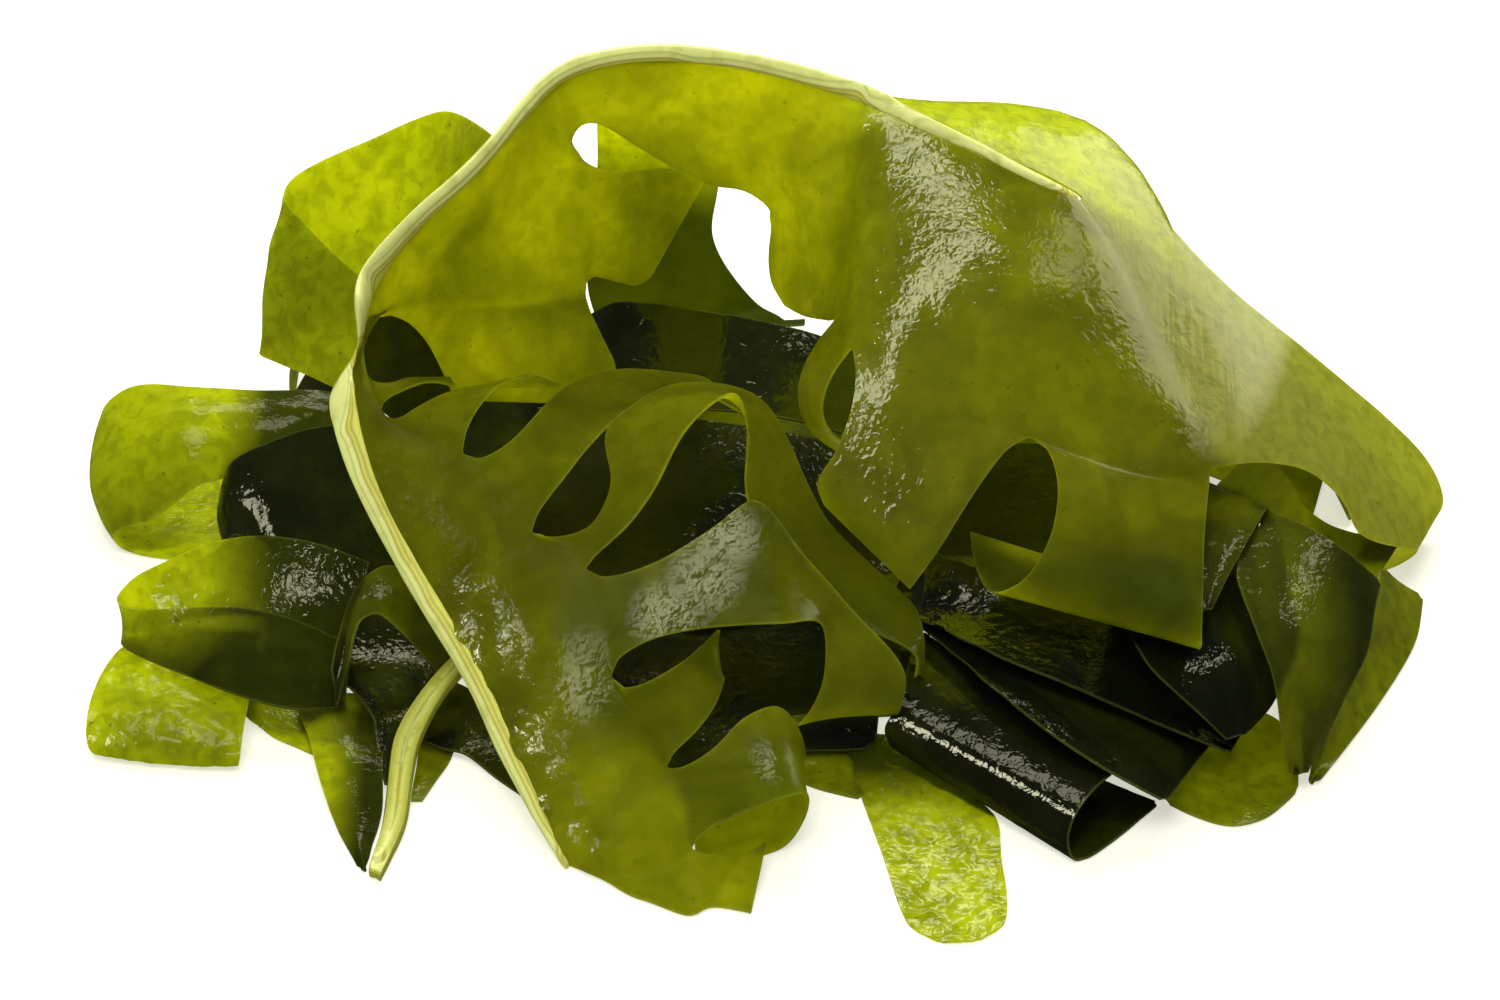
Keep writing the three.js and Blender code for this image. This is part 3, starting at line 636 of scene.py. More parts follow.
def store_stack(node, piece, tree):
    """Writes the shade of the neighbouring leaves on each point, softened a little, for the painted shade.
    """
    near = NEAR_BLADE if node == "blade" else NEAR
    bm = bmesh.new()
    bm.from_mesh(piece.data)
    bm.normal_update()
    if node == "blade":
        stack = [shade_below(tree, v.co, v.normal, near) for v in bm.verts]
    else:
        above = [shade_from(tree, v.co, v.normal, near) for v in bm.verts]
        below = [shade_from(tree, v.co, -v.normal, near) for v in bm.verts]
        stack = [sum(pair) for pair in zip(above, below)]
    stack = [LIFTED.get(node, 1.0) * shade + end_shade(node, v.co) for shade, v in zip(stack, bm.verts)]
    rings = [[v.index] + [e.other_vert(v).index for e in v.link_edges] for v in bm.verts]
    for _ in range(SOFTEN):
        stack = [sum(stack[index] for index in ring) / len(ring) for ring in rings]
    layer = bm.verts.layers.float.new("stack")
    for vert in bm.verts:
        vert[layer] = min(stack[vert.index], 1.0)
    bm.to_mesh(piece.data)
    bm.free()
    return sum(stack) / len(stack)


leaves = all_leaves()
stacks = {node: store_stack(node, piece, leaves) for node, piece in leaf_pieces().items()}
print("mean stack:", {node: round(mean, 2) for node, mean in stacks.items()})

# %% [markdown]
# ## The ridge of the wing
#
# At the far right the slope of the blade turns over a low ridge into a wing. The solid only bends
# there, because its triangles are too wide for the fold. An edge could be creased, but none runs
# along the fold, so the points near a line, seen from above, are lifted by a smooth hump that is
# steeper on the side of the wing.

# %% The ridge of the wing
RIB_END = Vector((64, 32)) * MM
RIDGE_FOOT = Vector((89, -12)) * MM
SOFT_BORDER = 8 * MM
RIDGE_LENGTH = 48 * MM
RIDGE_WIDTH = 9 * MM
RIDGE_LIFT = 0.9 * MM


def beside(place, start, end):
    """How far a place lies to the left of the line from start to end, seen from above."""
    along = (end - start).normalized()
    away = Vector((place.x, place.y)) - start
    return along.x * away.y - along.y * away.x


def soft_step(value):
    """0 for values below zero, 1 past the soft border, and a smooth rise between."""
    share = min(max(value / SOFT_BORDER, 0.0), 1.0)
    return share * share * (3 - 2 * share)


def ridge_lift(place):
    """How far a point near the ridge line is lifted."""
    side = beside(place, RIB_END, RIDGE_FOOT)
    along = (Vector((place.x, place.y)) - RIB_END).dot((RIDGE_FOOT - RIB_END).normalized())
    inside = soft_step(along + SOFT_BORDER) * (1 - soft_step(along - RIDGE_LENGTH))
    width = RIDGE_WIDTH if side < 0 else RIDGE_WIDTH / 2
    return RIDGE_LIFT * math.exp(-((side / width) ** 2)) * inside


def raise_ridge():
    """Lifts a narrow ridge where the slope of the blade turns into the wing."""
    upward = [v.normal * math.copysign(1.0, v.normal.z) for v in blade.data.vertices]
    for vert, way in zip(blade.data.vertices, upward):
        vert.co += way * ridge_lift(vert.co)


raise_ridge()
print("ridge raised:", RIDGE_LIFT / MM, "mm")

# %% [markdown]
# ## Puckers beside the rib
#
# The rib holds the leaf tight, so the front of the blade is gathered into short bumps along it, and
# they catch the light one by one. A bump in the finish would leave the leaf flat from the side, so
# the mesh itself moves, most against the rib and not at all a finger's width away from it.

# %% The puckers
PUCKER = 1.1 * MM
PUCKER_SIZE = 4.5 * MM
PUCKER_REACH = 14 * MM
PUCKER_FRONT = -30 * MM


def beside_rib():
    """For each point of the blade, 1 in front against the rib and 0 away from it."""
    rib_tree = point_tree([v.co for v in rib.data.vertices])
    shares = []
    for vert in blade.data.vertices:
        near = 1 - min(rib_tree.find(vert.co)[2] / PUCKER_REACH, 1.0)
        shares.append(near * soft_step(PUCKER_FRONT - vert.co.y))
    return shares


def pucker(shares):
    """Short bumps in the front of the blade where it is held tight by the rib."""
    outward = [v.normal.copy() for v in blade.data.vertices]
    for vert, way, share in zip(blade.data.vertices, outward, shares):
        vert.co += way * PUCKER * share * noise.noise(vert.co / PUCKER_SIZE)
        vert.co.z = max(vert.co.z, LEAF / 2)


tight = beside_rib()
pucker(tight)
print("puckered points:", sum(share > 0 for share in tight))

# %% [markdown]
# ## Painted backlight and combed leaf
#
# Some places on the blade differ from the rest. The lobes that fall behind the rib at the right glow
# with light from behind, and that glow is painted on as a bright yellow green. The wing at the far
# right is dry enough to be combed with fine wrinkles, and its paler colour holds a painted sheen. Each
# place could have a material of its own, but the borders are soft, so a value on each point, from
# where it lies beside a line seen from above, mixes them.

# %% Mark the backlit lobes and the combed wing
RIB_BEND = Vector((20, 44)) * MM
WING_FADE = 4
WING_BACKLIGHT_CUT = 0.8


def painted_backlight_at(place):
    """1 where the lobes behind the right end of the rib get painted backlight, fading towards the wing."""
    behind = soft_step(beside(place, RIB_BEND, RIB_END))
    wing = soft_step((place.x - RIB_END.x) / WING_FADE)
    return behind * soft_step(place.x - RIB_BEND.x + SOFT_BORDER) * (1 - WING_BACKLIGHT_CUT * wing)


def combed_at(place):
    """1 on the wing, to the right of its ridge."""
    return soft_step(beside(place, RIB_END, RIDGE_FOOT)) * soft_step(place.x - RIB_END.x)


mark_points(blade.data, "painted_backlight", [painted_backlight_at(v.co) for v in blade.data.vertices])
mark_points(blade.data, "combed", [combed_at(v.co) for v in blade.data.vertices])
print("blade marked: young, combed")

# %% [markdown]
# ## Calm places and wet spots
#
# Water runs off the broad front of the blade and off its low lobes, so they shine less than the
# slope at the right, which is wet all over. A few spots in front stay wet. One roughness for the
# whole leaf would lose that, so each point stores how calm it is: 0 is wet, 1 is almost without gloss.

# %% Mark the calm places
WET_SLOPE = 3 * MM
SLOPE_FADE = 1.5
LOW_LOBES = 39 * MM
RIGHT_LOBES = 40 * MM
DRY_FRONT = -48 * MM
HALF_CALM = 0.6
WET_SPOTS = [((-8, -32), 8), ((-12, -40), 9), ((-19, -47), 9), ((-36, -58), 11), ((2, -74), 9)]
WET_SHARE = 0.7


def calm_at(place):
    """1 on the near front of the blade and its low lobes, 0 on the wet slope at the right."""
    front = 1 - soft_step((place.x - WET_SLOPE) / SLOPE_FADE)
    near = soft_step(DRY_FRONT - place.y)
    low = (1 - soft_step(place.z - LOW_LOBES)) * soft_step(place.x - RIGHT_LOBES)
    return max(front * (HALF_CALM + (1 - HALF_CALM) * near), low)


def wet_at(place):
    """1 in the middle of a wet spot on the front of the blade, 0 outside."""
    wet = 0.0
    for middle, reach in WET_SPOTS:
        away = (Vector((place.x, place.y)) / MM - Vector(middle)).length / reach
        wet = max(wet, 1 - away * away)
    return wet


calm = [
    calm_at(v.co) * (1 - share) * (1 - WET_SHARE * wet_at(v.co))
    for v, share in zip(blade.data.vertices, tight)
]
mark_points(blade.data, "calm", calm)
print("mean calm:", round(sum(calm) / len(calm), 2))

# %% [markdown]
# ## Building blocks for the finishes
#
# All finishes are mixed from the same few nodes: cloudy noise, a ramp that turns a value into
# a colour, a blend of two colours and the values stored on the points. Noise is read in object
# coordinates, in metres, so its sizes are sizes on the leaf and stay put from any side. Wet leaf could
# be one Principled shader with transmission, but light that is scattered through a thin leaf is
# what a Translucent shader gives, so the two are mixed.

# %% Node helpers
WATER_IOR = 1.45
WET_LEVEL = 0.6
WET_COAT = 0.4
WET_COAT_ROUGH = 0.04
PATCH_LOW = 0.3
PATCH_HIGH = 0.7


def new_tree(name):
    """A material with an empty node tree."""
    mat = bpy.data.materials.new(name)
    mat.use_nodes = True
    mat.node_tree.nodes.clear()
    return mat, mat.node_tree


def cloud(tree, where, size, detail, distortion=0.0):
    """Noise whose clouds are about as large as the size."""
    node = tree.nodes.new("ShaderNodeTexNoise")
    node.inputs["Scale"].default_value = 1.0 / size
    node.inputs["Detail"].default_value = detail
    node.inputs["Distortion"].default_value = distortion
    tree.links.new(where, node.inputs["Vector"])
    return node.outputs["Fac"]


def ramp(tree, value, *stops):
    """A colour for each value: stops are pairs of a position and a colour or a grey."""
    node = tree.nodes.new("ShaderNodeValToRGB")
    while len(node.color_ramp.elements) < len(stops):
        node.color_ramp.elements.new(0.5)
    for element, (at, colour) in zip(node.color_ramp.elements, stops):
        element.position = at
        element.color = (*colour, 1.0) if isinstance(colour, tuple) else (colour,) * 3 + (1.0,)
    tree.links.new(value, node.inputs["Fac"])
    return node.outputs["Color"]


def patches(tree, where, size, values):
    """A value that wanders between two values in soft patches."""
    return ramp(tree, cloud(tree, where, size, detail=3.0), (PATCH_LOW, values[0]), (PATCH_HIGH, values[1]))


def spots(tree, where, size, fade, share, **grain):
    """Spots in the thick of a cloud: none at the first value of the fade, a full share at the second."""
    return ramp(tree, cloud(tree, where, size, **grain), (fade[0], 0.0), (fade[1], share))


def blend(tree, share, first, second):
    """The first colour where the share is 0, the second where it is 1."""
    node = tree.nodes.new("ShaderNodeMix")
    node.data_type = "RGBA"
    tree.links.new(share, node.inputs["Factor"])
    for socket, colour in (("A", first), ("B", second)):
        if isinstance(colour, tuple):
            node.inputs[socket].default_value = (*colour, 1.0)
        else:
            tree.links.new(colour, node.inputs[socket])
    return node.outputs["Result"]


def stored(tree, name):
    """A value stored on the points of the mesh."""
    node = tree.nodes.new("ShaderNodeAttribute")
    node.attribute_name = name
    return node.outputs["Fac"]


def bump(tree, height, strength, depth, under=None):
    """A normal tilted by a height, on top of another one if there is one."""
    node = tree.nodes.new("ShaderNodeBump")
    node.inputs["Distance"].default_value = depth
    if isinstance(strength, float):
        node.inputs["Strength"].default_value = strength
    else:
        tree.links.new(strength, node.inputs["Strength"])
    tree.links.new(height, node.inputs["Height"])
    if under:
        tree.links.new(under, node.inputs["Normal"])
    return node.outputs["Normal"]


def wet_shader(tree, skin, through, share, normal, rough, water=None):
    """A glossy wet skin mixed with light that comes through from behind."""
    gloss = tree.nodes.new("ShaderNodeBsdfPrincipled")
    gloss.inputs["IOR"].default_value = WATER_IOR
    gloss.inputs["Specular IOR Level"].default_value = WET_LEVEL
    gloss.inputs["Coat Weight"].default_value = WET_COAT
    gloss.inputs["Coat Roughness"].default_value = WET_COAT_ROUGH
    if water:
        tree.links.new(water, gloss.inputs["Specular IOR Level"])
        tree.links.new(water, gloss.inputs["Coat Weight"])
    tree.links.new(skin, gloss.inputs["Base Color"])
    tree.links.new(rough, gloss.inputs["Roughness"])
    tree.links.new(normal, gloss.inputs["Normal"])
    tree.links.new(normal, gloss.inputs["Coat Normal"])
    glow = tree.nodes.new("ShaderNodeBsdfTranslucent")
    tree.links.new(through, glow.inputs["Color"])
    mix = tree.nodes.new("ShaderNodeMixShader")
    mix.inputs["Fac"].default_value = share
    tree.links.new(gloss.outputs["BSDF"], mix.inputs[1])
    tree.links.new(glow.outputs["BSDF"], mix.inputs[2])
    out = tree.nodes.new("ShaderNodeOutputMaterial")
    tree.links.new(mix.outputs["Shader"], out.inputs["Surface"])


print("water on the leaves: IOR", WATER_IOR)

# %% [markdown]
# ## The blade's own marks
#
# The lobes behind the rib take a brighter pair of colours, a painted backlight, and the wing a paler
# olive pair that is partly its own colour and partly a painted sheen: one for the skin, and one, called
# lit, for the light that comes through. The wing also gets long narrow wrinkles. They could be
# modelled, but they are finer than the mesh, so they are a bump: noise that changes fast from left to
# right and slowly from back to front reads as combed lines. A Mapping node scales before it turns, so
# its turn doesn't move the lines, it only picks another stretch of the noise.

# %% The blade's own marks
# Painted backlight: the skin colour and the lit colour of the lobes behind the rib.
PAINTED_BACKLIGHT = (0.64, 0.72, 0.015)
PAINTED_BACKLIGHT_LIT = (0.96, 1.0, 0.03)
# The wing's skin colour is partly its own paler olive and partly a painted sheen.
COMBED_WITH_SHEEN = (0.30, 0.295, 0.045)
COMBED_LIT = (0.80, 0.82, 0.04)
CALM_GLOSS = (0.18, 0.18, 0.18)
DRY_GLOSS = (0.3, 0.3, 0.3)
HALF_CALM_LEVEL = 0.03
CALM_LEVEL = 0.01
COMB_LENGTH = 24 * MM
COMB_WIDTH = 1.8 * MM
COMB_DEPTH = 0.6 * MM
COMB_STRENGTH = 0.4
COMB_TURN = math.radians(-74.846)


def comb(tree, where, under):
    """Long narrow wrinkles that run from back to front over the wing."""
    turn = tree.nodes.new("ShaderNodeMapping")
    turn.inputs["Rotation"].default_value = (0.0, 0.0, COMB_TURN)
    turn.inputs["Scale"].default_value = (1 / COMB_WIDTH, 1 / COMB_LENGTH, 1 / COMB_LENGTH)
    tree.links.new(where, turn.inputs["Vector"])
    lines = cloud(tree, turn.outputs["Vector"], size=1.0, detail=2.0, distortion=0.3)
    strength = ramp(tree, stored(tree, "combed"), (0.0, 0.0), (1.0, COMB_STRENGTH))
    return bump(tree, lines, strength, COMB_DEPTH, under)


def blade_colours(tree, skin, through):
    """Lays the combed wing, its colour partly a painted sheen, and the painted backlight of the lobes over
    the two colours of the blade.
    """
    combed = stored(tree, "combed")
    skin = blend(tree, combed, skin, COMBED_WITH_SHEEN)
    through = blend(tree, combed, through, COMBED_LIT)
    painted_backlight = stored(tree, "painted_backlight")
    return blend(tree, painted_backlight, skin, PAINTED_BACKLIGHT), blend(tree, painted_backlight, through, PAINTED_BACKLIGHT_LIT)


def blade_gloss(tree, rough):
    """How wet and how rough the blade is: sharp on the slope, calm in front, dry on the wing."""
    calm_share = stored(tree, "calm")
    water = ramp(tree, calm_share, (0.0, WET_LEVEL), (HALF_CALM, HALF_CALM_LEVEL), (1.0, CALM_LEVEL))
    rough = blend(tree, calm_share, rough, CALM_GLOSS)
    rough = blend(tree, stored(tree, "combed"), rough, DRY_GLOSS)
    return water, blend(tree, stored(tree, "painted_backlight"), rough, DRY_GLOSS)


print("combed lines:", round(COMB_WIDTH / MM, 1), "mm wide")

# %% [markdown]
# ## The colour of a leaf
#
# The colour runs from the thin leaf's yellow green to the deep green of a stack, by the stored shade,
# so the deep green is painted shade, and a mottle moves both. Soft dapples and small dark specks
# follow. A painted picture could hold all this, but a mix of noises has no seams and the same grain on
# every strap. Colours come in pairs, the darker and the lighter of the mottle.

# %% The colour of a leaf
# Painted highlight: a thin pale line along each cut edge, with its width in millimetres and its share.
EDGE_HIGHLIGHT_WIDTH = 0.4
EDGE_HIGHLIGHT_SHARE = 0.25
EDGE_HIGHLIGHT_COLOUR = (0.36, 0.38, 0.08)
MOTTLE_SIZE = 16 * MM
MOTTLE_LOW = 0.34
MOTTLE_HIGH = 0.66
DAPPLE_SIZE = 3.0 * MM
DAPPLE_FADE = (0.42, 0.64)
DAPPLE_SHARE = 0.3
SPECK_SIZE = 1.6 * MM
SPECK_FADE = (0.72, 0.78)
SPECK_SHARE = 0.5


def leaf_colour(tree, mottle, stack, thin, deep):
    """The mottled colour of a leaf, from a single layer to the painted shade of leaves that lie stacked."""
    single = ramp(tree, mottle, (MOTTLE_LOW, thin[0]), (MOTTLE_HIGH, thin[1]))
    stacked = ramp(tree, mottle, (MOTTLE_LOW, deep[0]), (MOTTLE_HIGH, deep[1]))
    return blend(tree, stack, single, stacked)


def leaf_marks(tree, where):
    """How much of a dapple and of a speck lies on each place."""
    dapple = spots(tree, where, DAPPLE_SIZE, DAPPLE_FADE, DAPPLE_SHARE, detail=3.0, distortion=0.5)
    speck = spots(tree, where, SPECK_SIZE, SPECK_FADE, SPECK_SHARE, detail=1.0)
    return dapple, speck


def marked(tree, marks, colour, deep):
    """A colour with the dapples and the specks laid over it."""
    dapple, speck = marks
    return blend(tree, speck, blend(tree, dapple, colour, deep[1]), deep[0])


print("mottle:", MOTTLE_SIZE / MM, "mm, specks:", SPECK_SIZE / MM, "mm")

# %% [markdown]
# ## Wrinkles finer than the mesh
#
# The film of water shows a net of fine creases in every highlight. A mesh fine enough for them would
# be far too heavy, so three sizes of bump are laid over each other: soft blisters, sharp creases and
# a grain.

# %% The fine wrinkles
BLISTER_CLOUD = 3.6 * MM
BLISTER_HEIGHT = 1.0 * MM
CREASE_SIZE = 3.2 * MM
CREASE_HEIGHT = 0.3 * MM
GRAIN_SIZE = 1.5 * MM
GRAIN_HEIGHT = 0.3 * MM
GRAIN = 0.3


def creases(tree, where, size):
    """A net of fine sharp creases, like the skin of a wet leaf."""
    node = tree.nodes.new("ShaderNodeTexNoise")
    node.noise_type = "RIDGED_MULTIFRACTAL"
    node.normalize = True
    node.inputs["Scale"].default_value = 1.0 / size
    node.inputs["Detail"].default_value = 2.0
    node.inputs["Distortion"].default_value = 0.6
    tree.links.new(where, node.inputs["Vector"])
    return node.outputs["Fac"]


def leaf_normal(tree, where, blister, wrinkle):
    """The three sizes of wrinkle, one on top of the other."""
    blisters = cloud(tree, where, BLISTER_CLOUD, detail=2.0, distortion=0.8)
    normal = bump(tree, blisters, blister, BLISTER_HEIGHT)
    normal = bump(tree, creases(tree, where, CREASE_SIZE), wrinkle, CREASE_HEIGHT, normal)
    grain = cloud(tree, where, GRAIN_SIZE, detail=1.0, distortion=1.0)
    return bump(tree, grain, GRAIN, GRAIN_HEIGHT, normal)


print("creases:", CREASE_SIZE / MM, "mm")

# %% [markdown]
# ## The leaf finish
#
# A wet leaf is a thin film of water over a tissue that lets much of the light through. The finish puts
# the colours, the painted shade of stacked leaves, the wrinkles and a patchy wetness together, and
# draws the fine pale line at the cut edge as a painted highlight. One function serves all the leaves,
# so they read as one plant, and only the blade adds its own marks.

# %% The leaf finish
BLADE_FINISH = "wet_blade"
WET_PATCH = 9 * MM


def leaf_finish(name, thin, thin_lit, deep, deep_lit, share, stack_range, blister, wrinkle, rough):
    """Wet leaf that glows where it lies single and takes a painted shade where it lies stacked."""
    mat, tree = new_tree(name)
    where = tree.nodes.new("ShaderNodeTexCoord").outputs["Object"]
    # Painted shade: the stored stack sets how much of the deep colours is mixed in.
    stack = ramp(tree, stored(tree, "stack"), (stack_range[0], 0.0), (stack_range[1], 1.0))
    mottle = cloud(tree, where, MOTTLE_SIZE, detail=6.0, distortion=0.8)
    skin = leaf_colour(tree, mottle, stack, thin, deep)
    through = leaf_colour(tree, mottle, stack, thin_lit, deep_lit)
    normal = leaf_normal(tree, where, blister, wrinkle)
    wetness = patches(tree, where, WET_PATCH, rough)
    water = None
    if name == BLADE_FINISH:
        skin, through = blade_colours(tree, skin, through)
        water, wetness = blade_gloss(tree, wetness)
        normal = comb(tree, where, normal)
    marks = leaf_marks(tree, where)
    skin = marked(tree, marks, skin, deep)
    through = marked(tree, marks, through, deep_lit)
    # Painted highlight along the cut edge.
    line = ramp(tree, stored(tree, "from_edge"), (0.0, EDGE_HIGHLIGHT_SHARE), (EDGE_HIGHLIGHT_WIDTH, 0.0))
    skin = blend(tree, line, skin, EDGE_HIGHLIGHT_COLOUR)
    wet_shader(tree, skin, through, share, normal, wetness, water)
    return mat


print("wet patches:", WET_PATCH / MM, "mm")

# %% [markdown]
# ## The rib's finish
#
# The rib shows two bands along its length: pale grey green outside and yellow next to the blade,
# with fine lines between. Stripes could be a wave texture, but that runs straight and the rib doesn't,
# so a ramp reads the value that each point stored about the side it lies on. The rib is thick, so
# little light comes through.

# %% The rib finish
RIB_OUTER = (0.86, 0.90, 0.30)
RIB_GREEN = (0.60, 0.66, 0.17)
RIB_LINE = (0.46, 0.43, 0.08)
RIB_INNER = (0.80, 0.78, 0.13)
FLESH_SHARE = 0.1
FLESH_PATCH = 6 * MM
FLESH_ROUGH = (0.12, 0.24)
RIB_SPECK = 5 * MM
RIB_SPECK_FADE = (0.5, 0.75)
RIB_SPECK_SHARE = 0.5
RIB_GRAIN_SIZE = 1.6 * MM
RIB_GRAIN_HEIGHT = 0.3 * MM
RIB_GRAIN = 0.1


def rib_finish():
    """Two bands along the rib, by how far a point lies towards the blade."""
    mat, tree = new_tree("grooved_rib")
    where = tree.nodes.new("ShaderNodeTexCoord").outputs["Object"]
    side = stored(tree, "band")
    colour = ramp(
        tree, side,
        (0.462, RIB_OUTER), (0.472, RIB_GREEN), (0.480, RIB_OUTER), (0.496, RIB_OUTER),
        (0.506, RIB_LINE), (0.518, RIB_INNER), (0.532, RIB_LINE), (0.545, RIB_INNER),
    )
    speck = spots(tree, where, RIB_SPECK, RIB_SPECK_FADE, RIB_SPECK_SHARE, detail=3.0)
    colour = blend(tree, speck, colour, RIB_LINE)
    normal = bump(tree, cloud(tree, where, RIB_GRAIN_SIZE, detail=2.0), RIB_GRAIN, RIB_GRAIN_HEIGHT)
    wet_shader(tree, colour, colour, FLESH_SHARE, normal, patches(tree, where, FLESH_PATCH, FLESH_ROUGH))
    return mat


print("light through the rib:", FLESH_SHARE)

# %% [markdown]
# ## The stem's finish
#
# The stem is a band with darker flanks and one pale ridge along it. A photograph of a stem could be
# laid on it, but the colour follows the distance from the edge, which each point already knows, so
# a ramp over that distance draws the ridge wherever the stem bends.

# %% The stem finish
STEM_FLANK = (0.36, 0.37, 0.04)
STEM_RIDGE = (0.60, 0.62, 0.12)
STEM_SPECK = 2.2 * MM
STEM_SPECK_FADE = (0.58, 0.68)
STEM_SPECK_SHARE = 0.6
STEM_GRAIN_SIZE = 2.4 * MM
STEM_GRAIN_HEIGHT = 0.4 * MM
STEM_GRAIN = 0.2


def stem_finish():
    """Darker flanks and a pale ridge, by the distance from the edge of the band."""
    mat, tree = new_tree("ridged_stem")
    where = tree.nodes.new("ShaderNodeTexCoord").outputs["Object"]
    width = ramp(
        tree, stored(tree, "across"),
        (0.0, STEM_FLANK), (0.45, STEM_RIDGE), (0.55, STEM_RIDGE), (0.7, STEM_FLANK),
    )
    speck = spots(tree, where, STEM_SPECK, STEM_SPECK_FADE, STEM_SPECK_SHARE, detail=2.0)
    colour = blend(tree, speck, width, STEM_FLANK)
    normal = bump(tree, cloud(tree, where, STEM_GRAIN_SIZE, detail=2.0), STEM_GRAIN, STEM_GRAIN_HEIGHT)
    wet_shader(tree, colour, colour, FLESH_SHARE, normal, patches(tree, where, FLESH_PATCH, FLESH_ROUGH))
    return mat


print("specks on the stem:", round(STEM_SPECK / MM, 1), "mm")

# %% [markdown]
# ## Dressing the pieces
#
# Four leaf finishes dress the plant: the blade, the bright straps, and two darker versions of the
# bright finish as painted shade, olive and almost black, for straps further down the heap. Each strap
# could have its own, but the stored shade already tells them apart. A few wear another finish than the
# slot of their solid, where the leaf shows brighter or darker than the slot's name says, so they take
# less or more painted shade. The rib and the stem have their own.

# %% Hand out the finishes
WEARS = {
    "stipe": "stem", "strap_twist": "olive", "strap_tent": "olive", "strap_left_point": "bright",
    "strap_right_floor": "olive", "strap_right_wall": "olive", "strap_left_arch": "bright",
}
# In each leaf finish the deep pair and the deep_lit pair are painted shade for stacked leaves, and they
# also tint the dapples and specks.
finishes = {
    "blade": leaf_finish(
        BLADE_FINISH,
        thin=((0.088, 0.095, 0.004), (0.155, 0.163, 0.005)),
        thin_lit=((0.73, 0.74, 0.025), (0.95, 0.95, 0.035)),
        deep=((0.044, 0.056, 0.004), (0.070, 0.085, 0.004)),
        deep_lit=((0.33, 0.39, 0.012), (0.48, 0.56, 0.016)),
        share=0.57,
        stack_range=(0.1, 0.8),
        blister=0.03,
        wrinkle=0.5,
        rough=(0.09, 0.16),
    ),
    "bright": leaf_finish(
        "lit_strap",
        thin=((0.22, 0.245, 0.003), (0.34, 0.375, 0.005)),
        thin_lit=((0.84, 0.89, 0.015), (0.95, 1.0, 0.02)),
        deep=((0.018, 0.022, 0.002), (0.035, 0.041, 0.003)),
        deep_lit=((0.20, 0.23, 0.008), (0.30, 0.34, 0.01)),
        share=0.6,
        stack_range=(0.15, 0.9),
        blister=0.08,
        wrinkle=0.45,
        rough=(0.08, 0.15),
    ),
    "olive": leaf_finish(
        "half_shaded_olive_strap",
        thin=((0.075, 0.084, 0.002), (0.115, 0.128, 0.003)),
        thin_lit=((0.60, 0.64, 0.012), (0.75, 0.80, 0.015)),
        deep=((0.014, 0.017, 0.002), (0.028, 0.033, 0.003)),
        deep_lit=((0.16, 0.18, 0.006), (0.26, 0.29, 0.008)),
        share=0.5,
        stack_range=(0.1, 0.8),
        blister=0.08,
        wrinkle=0.45,
        rough=(0.08, 0.15),
    ),
    "dark": leaf_finish(
        "shaded_dark_strap",
        thin=((0.010, 0.014, 0.002), (0.020, 0.025, 0.003)),
        thin_lit=((0.16, 0.19, 0.008), (0.27, 0.30, 0.01)),
        deep=((0.004, 0.006, 0.002), (0.009, 0.012, 0.003)),
        deep_lit=((0.05, 0.065, 0.005), (0.10, 0.12, 0.007)),
        share=0.4,
        stack_range=(0.0, 0.6),
        blister=0.1,
        wrinkle=0.45,
        rough=(0.06, 0.12),
    ),
    "rib": rib_finish(),
    "stem": stem_finish(),
}
for node, piece in pieces.items():
    piece.data.materials.clear()
    piece.data.materials.append(finishes[WEARS.get(node, piece["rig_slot"])])
print("finishes:", sorted(finishes))

# %% [markdown]
# ## The table
#
# The heap lies on a plain white table. A real table is lit by the room, and here it glows a little by
# itself, so that the light under the leaves stays white and comes back up through them. The gloss
# doesn't mirror it, or a grey haze would lie on every leaf.

# %% The table
TABLE_SIDE = 8.0
TABLE_WHITE = (0.5, 0.5, 0.42, 1.0)
TABLE_GLOW = (1.0, 1.0, 0.87, 1.0)
TABLE_GLOW_POWER = 0.6
TABLE_ROUGH = 0.6


def make_table():
    """A wide flat sheet at the height the heap rests on."""
    bm = bmesh.new()
    bmesh.ops.create_grid(bm, x_segments=1, y_segments=1, size=TABLE_SIDE / 2)
    mesh = bpy.data.meshes.new("table")
    bm.to_mesh(mesh)
    bm.free()
    mat = bpy.data.materials.new("white_table")
    mat.use_nodes = True
    shader = mat.node_tree.nodes["Principled BSDF"]
    shader.inputs["Base Color"].default_value = TABLE_WHITE
    shader.inputs["Roughness"].default_value = TABLE_ROUGH
    shader.inputs["Specular IOR Level"].default_value = 0.0
    shader.inputs["Emission Color"].default_value = TABLE_GLOW
    shader.inputs["Emission Strength"].default_value = TABLE_GLOW_POWER
    mesh.materials.append(mat)
    table = bpy.data.objects.new("table", mesh)
    table.visible_glossy = False
    bpy.context.scene.collection.objects.link(table)
    return table


make_table()
print("table:", TABLE_SIDE, "m")

# %% [markdown]
# ## The lights
#
# Two large soft boxes fill the heap with light, one above and one behind it. The wet gloss needs
# something sharper to mirror, so smaller boxes and strips stand where the highlights of the leaves
# point, and only the gloss sees them. In a studio, flags keep a strip off the leaves that it shouldn't
# touch. Light linking does the same here: each mirror light names the pieces that receive it. A light
# is placed by the direction in which it is seen from the heap.

# %% The lights
MIDDLE = Vector((0.0, -0.02, 0.04))
WARM = (1.0, 0.97, 0.68)
WHITE = (1.0, 1.0, 1.0)


def gloss_group(name, members):
    """The pieces in whose gloss a light is seen, like flags that hide it from the others."""
    group = bpy.data.collections.new(name)
    for piece in members:
        group.objects.link(piece)
    return group


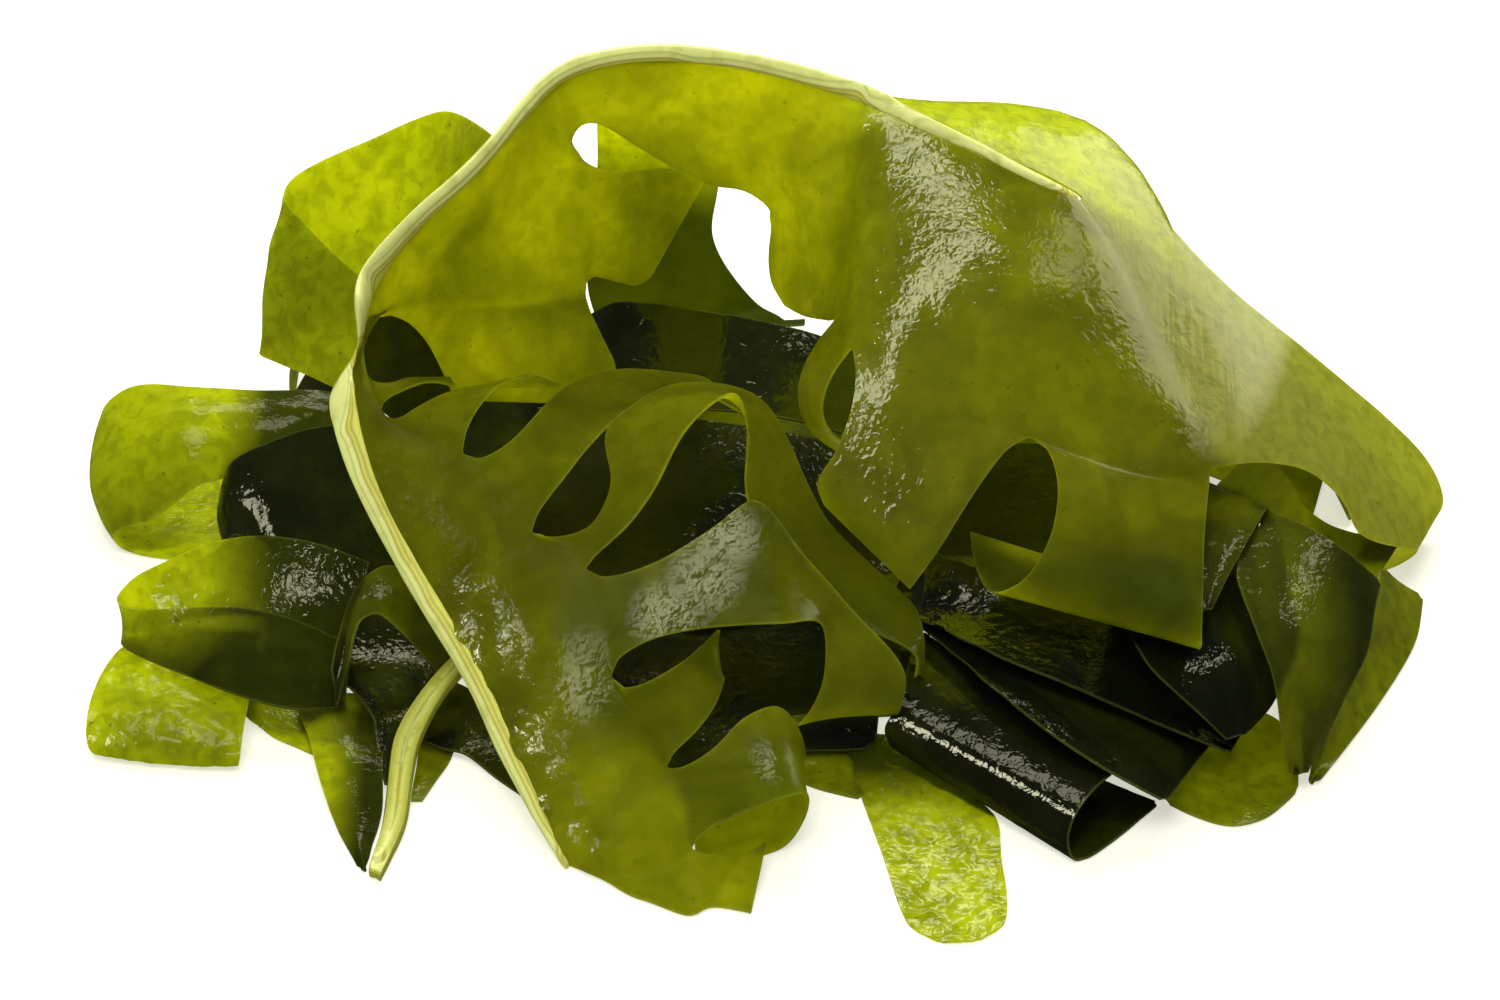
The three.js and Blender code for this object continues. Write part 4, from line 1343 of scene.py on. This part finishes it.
def soft_light(name, way, far, size, power, seen_in=None, turn=0.0):
    """A soft box that faces the heap: a fill for all leaves, or a mirror light for some of them."""
    lamp = bpy.data.lights.new(name, "AREA")
    lamp.shape = "RECTANGLE"
    lamp.size, lamp.size_y = size
    lamp.energy = power
    lamp.color = WARM if seen_in else WHITE
    obj = bpy.data.objects.new(name, lamp)
    obj.location = MIDDLE + Vector(way).normalized() * far
    facing = (MIDDLE - obj.location).to_track_quat("-Z", "Y")
    obj.rotation_euler = (facing @ Quaternion((0, 0, 1), math.radians(turn))).to_euler()
    obj.visible_glossy = seen_in is not None
    obj.visible_diffuse = seen_in is None
    obj.visible_transmission = seen_in is None
    if seen_in:
        obj.light_linking.receiver_collection = seen_in
    bpy.context.scene.collection.objects.link(obj)


ROLLED = ["roll", "flat", "ridge", "sling", "left_foot"]
ALONE = ["blade", "strap_left_arch", "strap_left_hollow", "strap_tongue"]
wide, arched, hollow, flat = (gloss_group(node + "_only", [pieces[node]]) for node in ALONE)
narrow = gloss_group("narrow_leaves", [piece for node, piece in pieces.items() if node not in ALONE])
rolled = gloss_group("rolled_leaves", [pieces["strap_" + strap] for strap in ROLLED])
soft_light("fill_above", (-0.16, -0.2, 0.95), 1.2, (1.0, 1.0), 14.0)
soft_light("fill_behind", (0.04, 0.77, 0.63), 1.4, (1.4, 0.7), 30.0)
soft_light("blade_streak", (-0.17, -0.06, 0.98), 1.0, (0.15, 1.3), 7.5, wide, 26)
soft_light("blade_rib", (-0.72, -0.12, 0.68), 1.0, (0.12, 0.12), 1.6, wide)
soft_light("blade_right", (0.6, 0.3, 0.74), 1.0, (0.2, 0.2), 0.4, wide)
soft_light("wing_low", (0.72, 0.6, 0.33), 1.0, (0.8, 0.7), 8.0, wide)
soft_light("straps_left", (-0.7, -0.13, 0.7), 1.0, (0.26, 0.26), 3.6, rolled)
soft_light("straps_above", (-0.2, 0.2, 0.95), 1.0, (0.3, 0.3), 1.2, narrow)
soft_light("straps_right", (0.58, 0.46, 0.66), 1.0, (0.06, 0.3), 0.3, narrow, 24)
soft_light("straps_behind", (0.03, 0.76, 0.65), 1.1, (0.6, 0.18), 1.5, narrow)
soft_light("tongue_behind", (0.0, 0.77, 0.64), 1.1, (0.3, 0.14), 1.4, flat)
soft_light("arch_top", (-0.25, -0.42, 0.87), 1.0, (0.16, 0.16), 1.0, arched)
soft_light("hollow_side", (-0.95, 0.0, 0.3), 1.0, (0.2, 0.3), 1.5, hollow)

# %% [markdown]
# ## The room
#
# A studio has pale walls, which keep the deepest folds from going black. Walls could be built, but
# a faint white background all round does the same and casts no shadow. The plain view transform
# keeps the leaf colours as mixed.

# %% The room
ROOM_LIGHT = 0.05
world = bpy.data.worlds.new("studio")
bpy.context.scene.world = world
world.use_nodes = True
world.node_tree.nodes["Background"].inputs["Color"].default_value = (*WHITE, 1.0)
world.node_tree.nodes["Background"].inputs["Strength"].default_value = ROOM_LIGHT
bpy.context.scene.view_settings.view_transform = "Standard"
print("room light:", ROOM_LIGHT)

# %% [markdown]
# ## The camera
#
# The picture looks down on the heap at a slant of thirty-five degrees with a long lens, so that
# near and far lobes are drawn at nearly the same scale. A parallel view would flatten the heap, and
# a short lens would swell the front, so the distance is three times the width of what is seen.

# %% The camera
LOOK_AT = Vector((-3.05, -21.73, 40.96)) * MM
ELEVATION = math.radians(35)
DISTANCE = 900 * MM
SHEET_WIDTH = 300 * MM
SENSOR = 36.0
camera_data = bpy.data.cameras.new("camera")
camera_data.sensor_width = SENSOR
camera_data.lens = SENSOR * DISTANCE / SHEET_WIDTH
camera = bpy.data.objects.new("camera", camera_data)
camera.location = LOOK_AT + DISTANCE * Vector((0, -math.cos(ELEVATION), math.sin(ELEVATION)))
camera.rotation_euler = (math.pi / 2 - ELEVATION, 0, 0)
bpy.context.scene.collection.objects.link(camera)
bpy.context.scene.camera = camera
print("lens:", round(camera_data.lens), "mm")
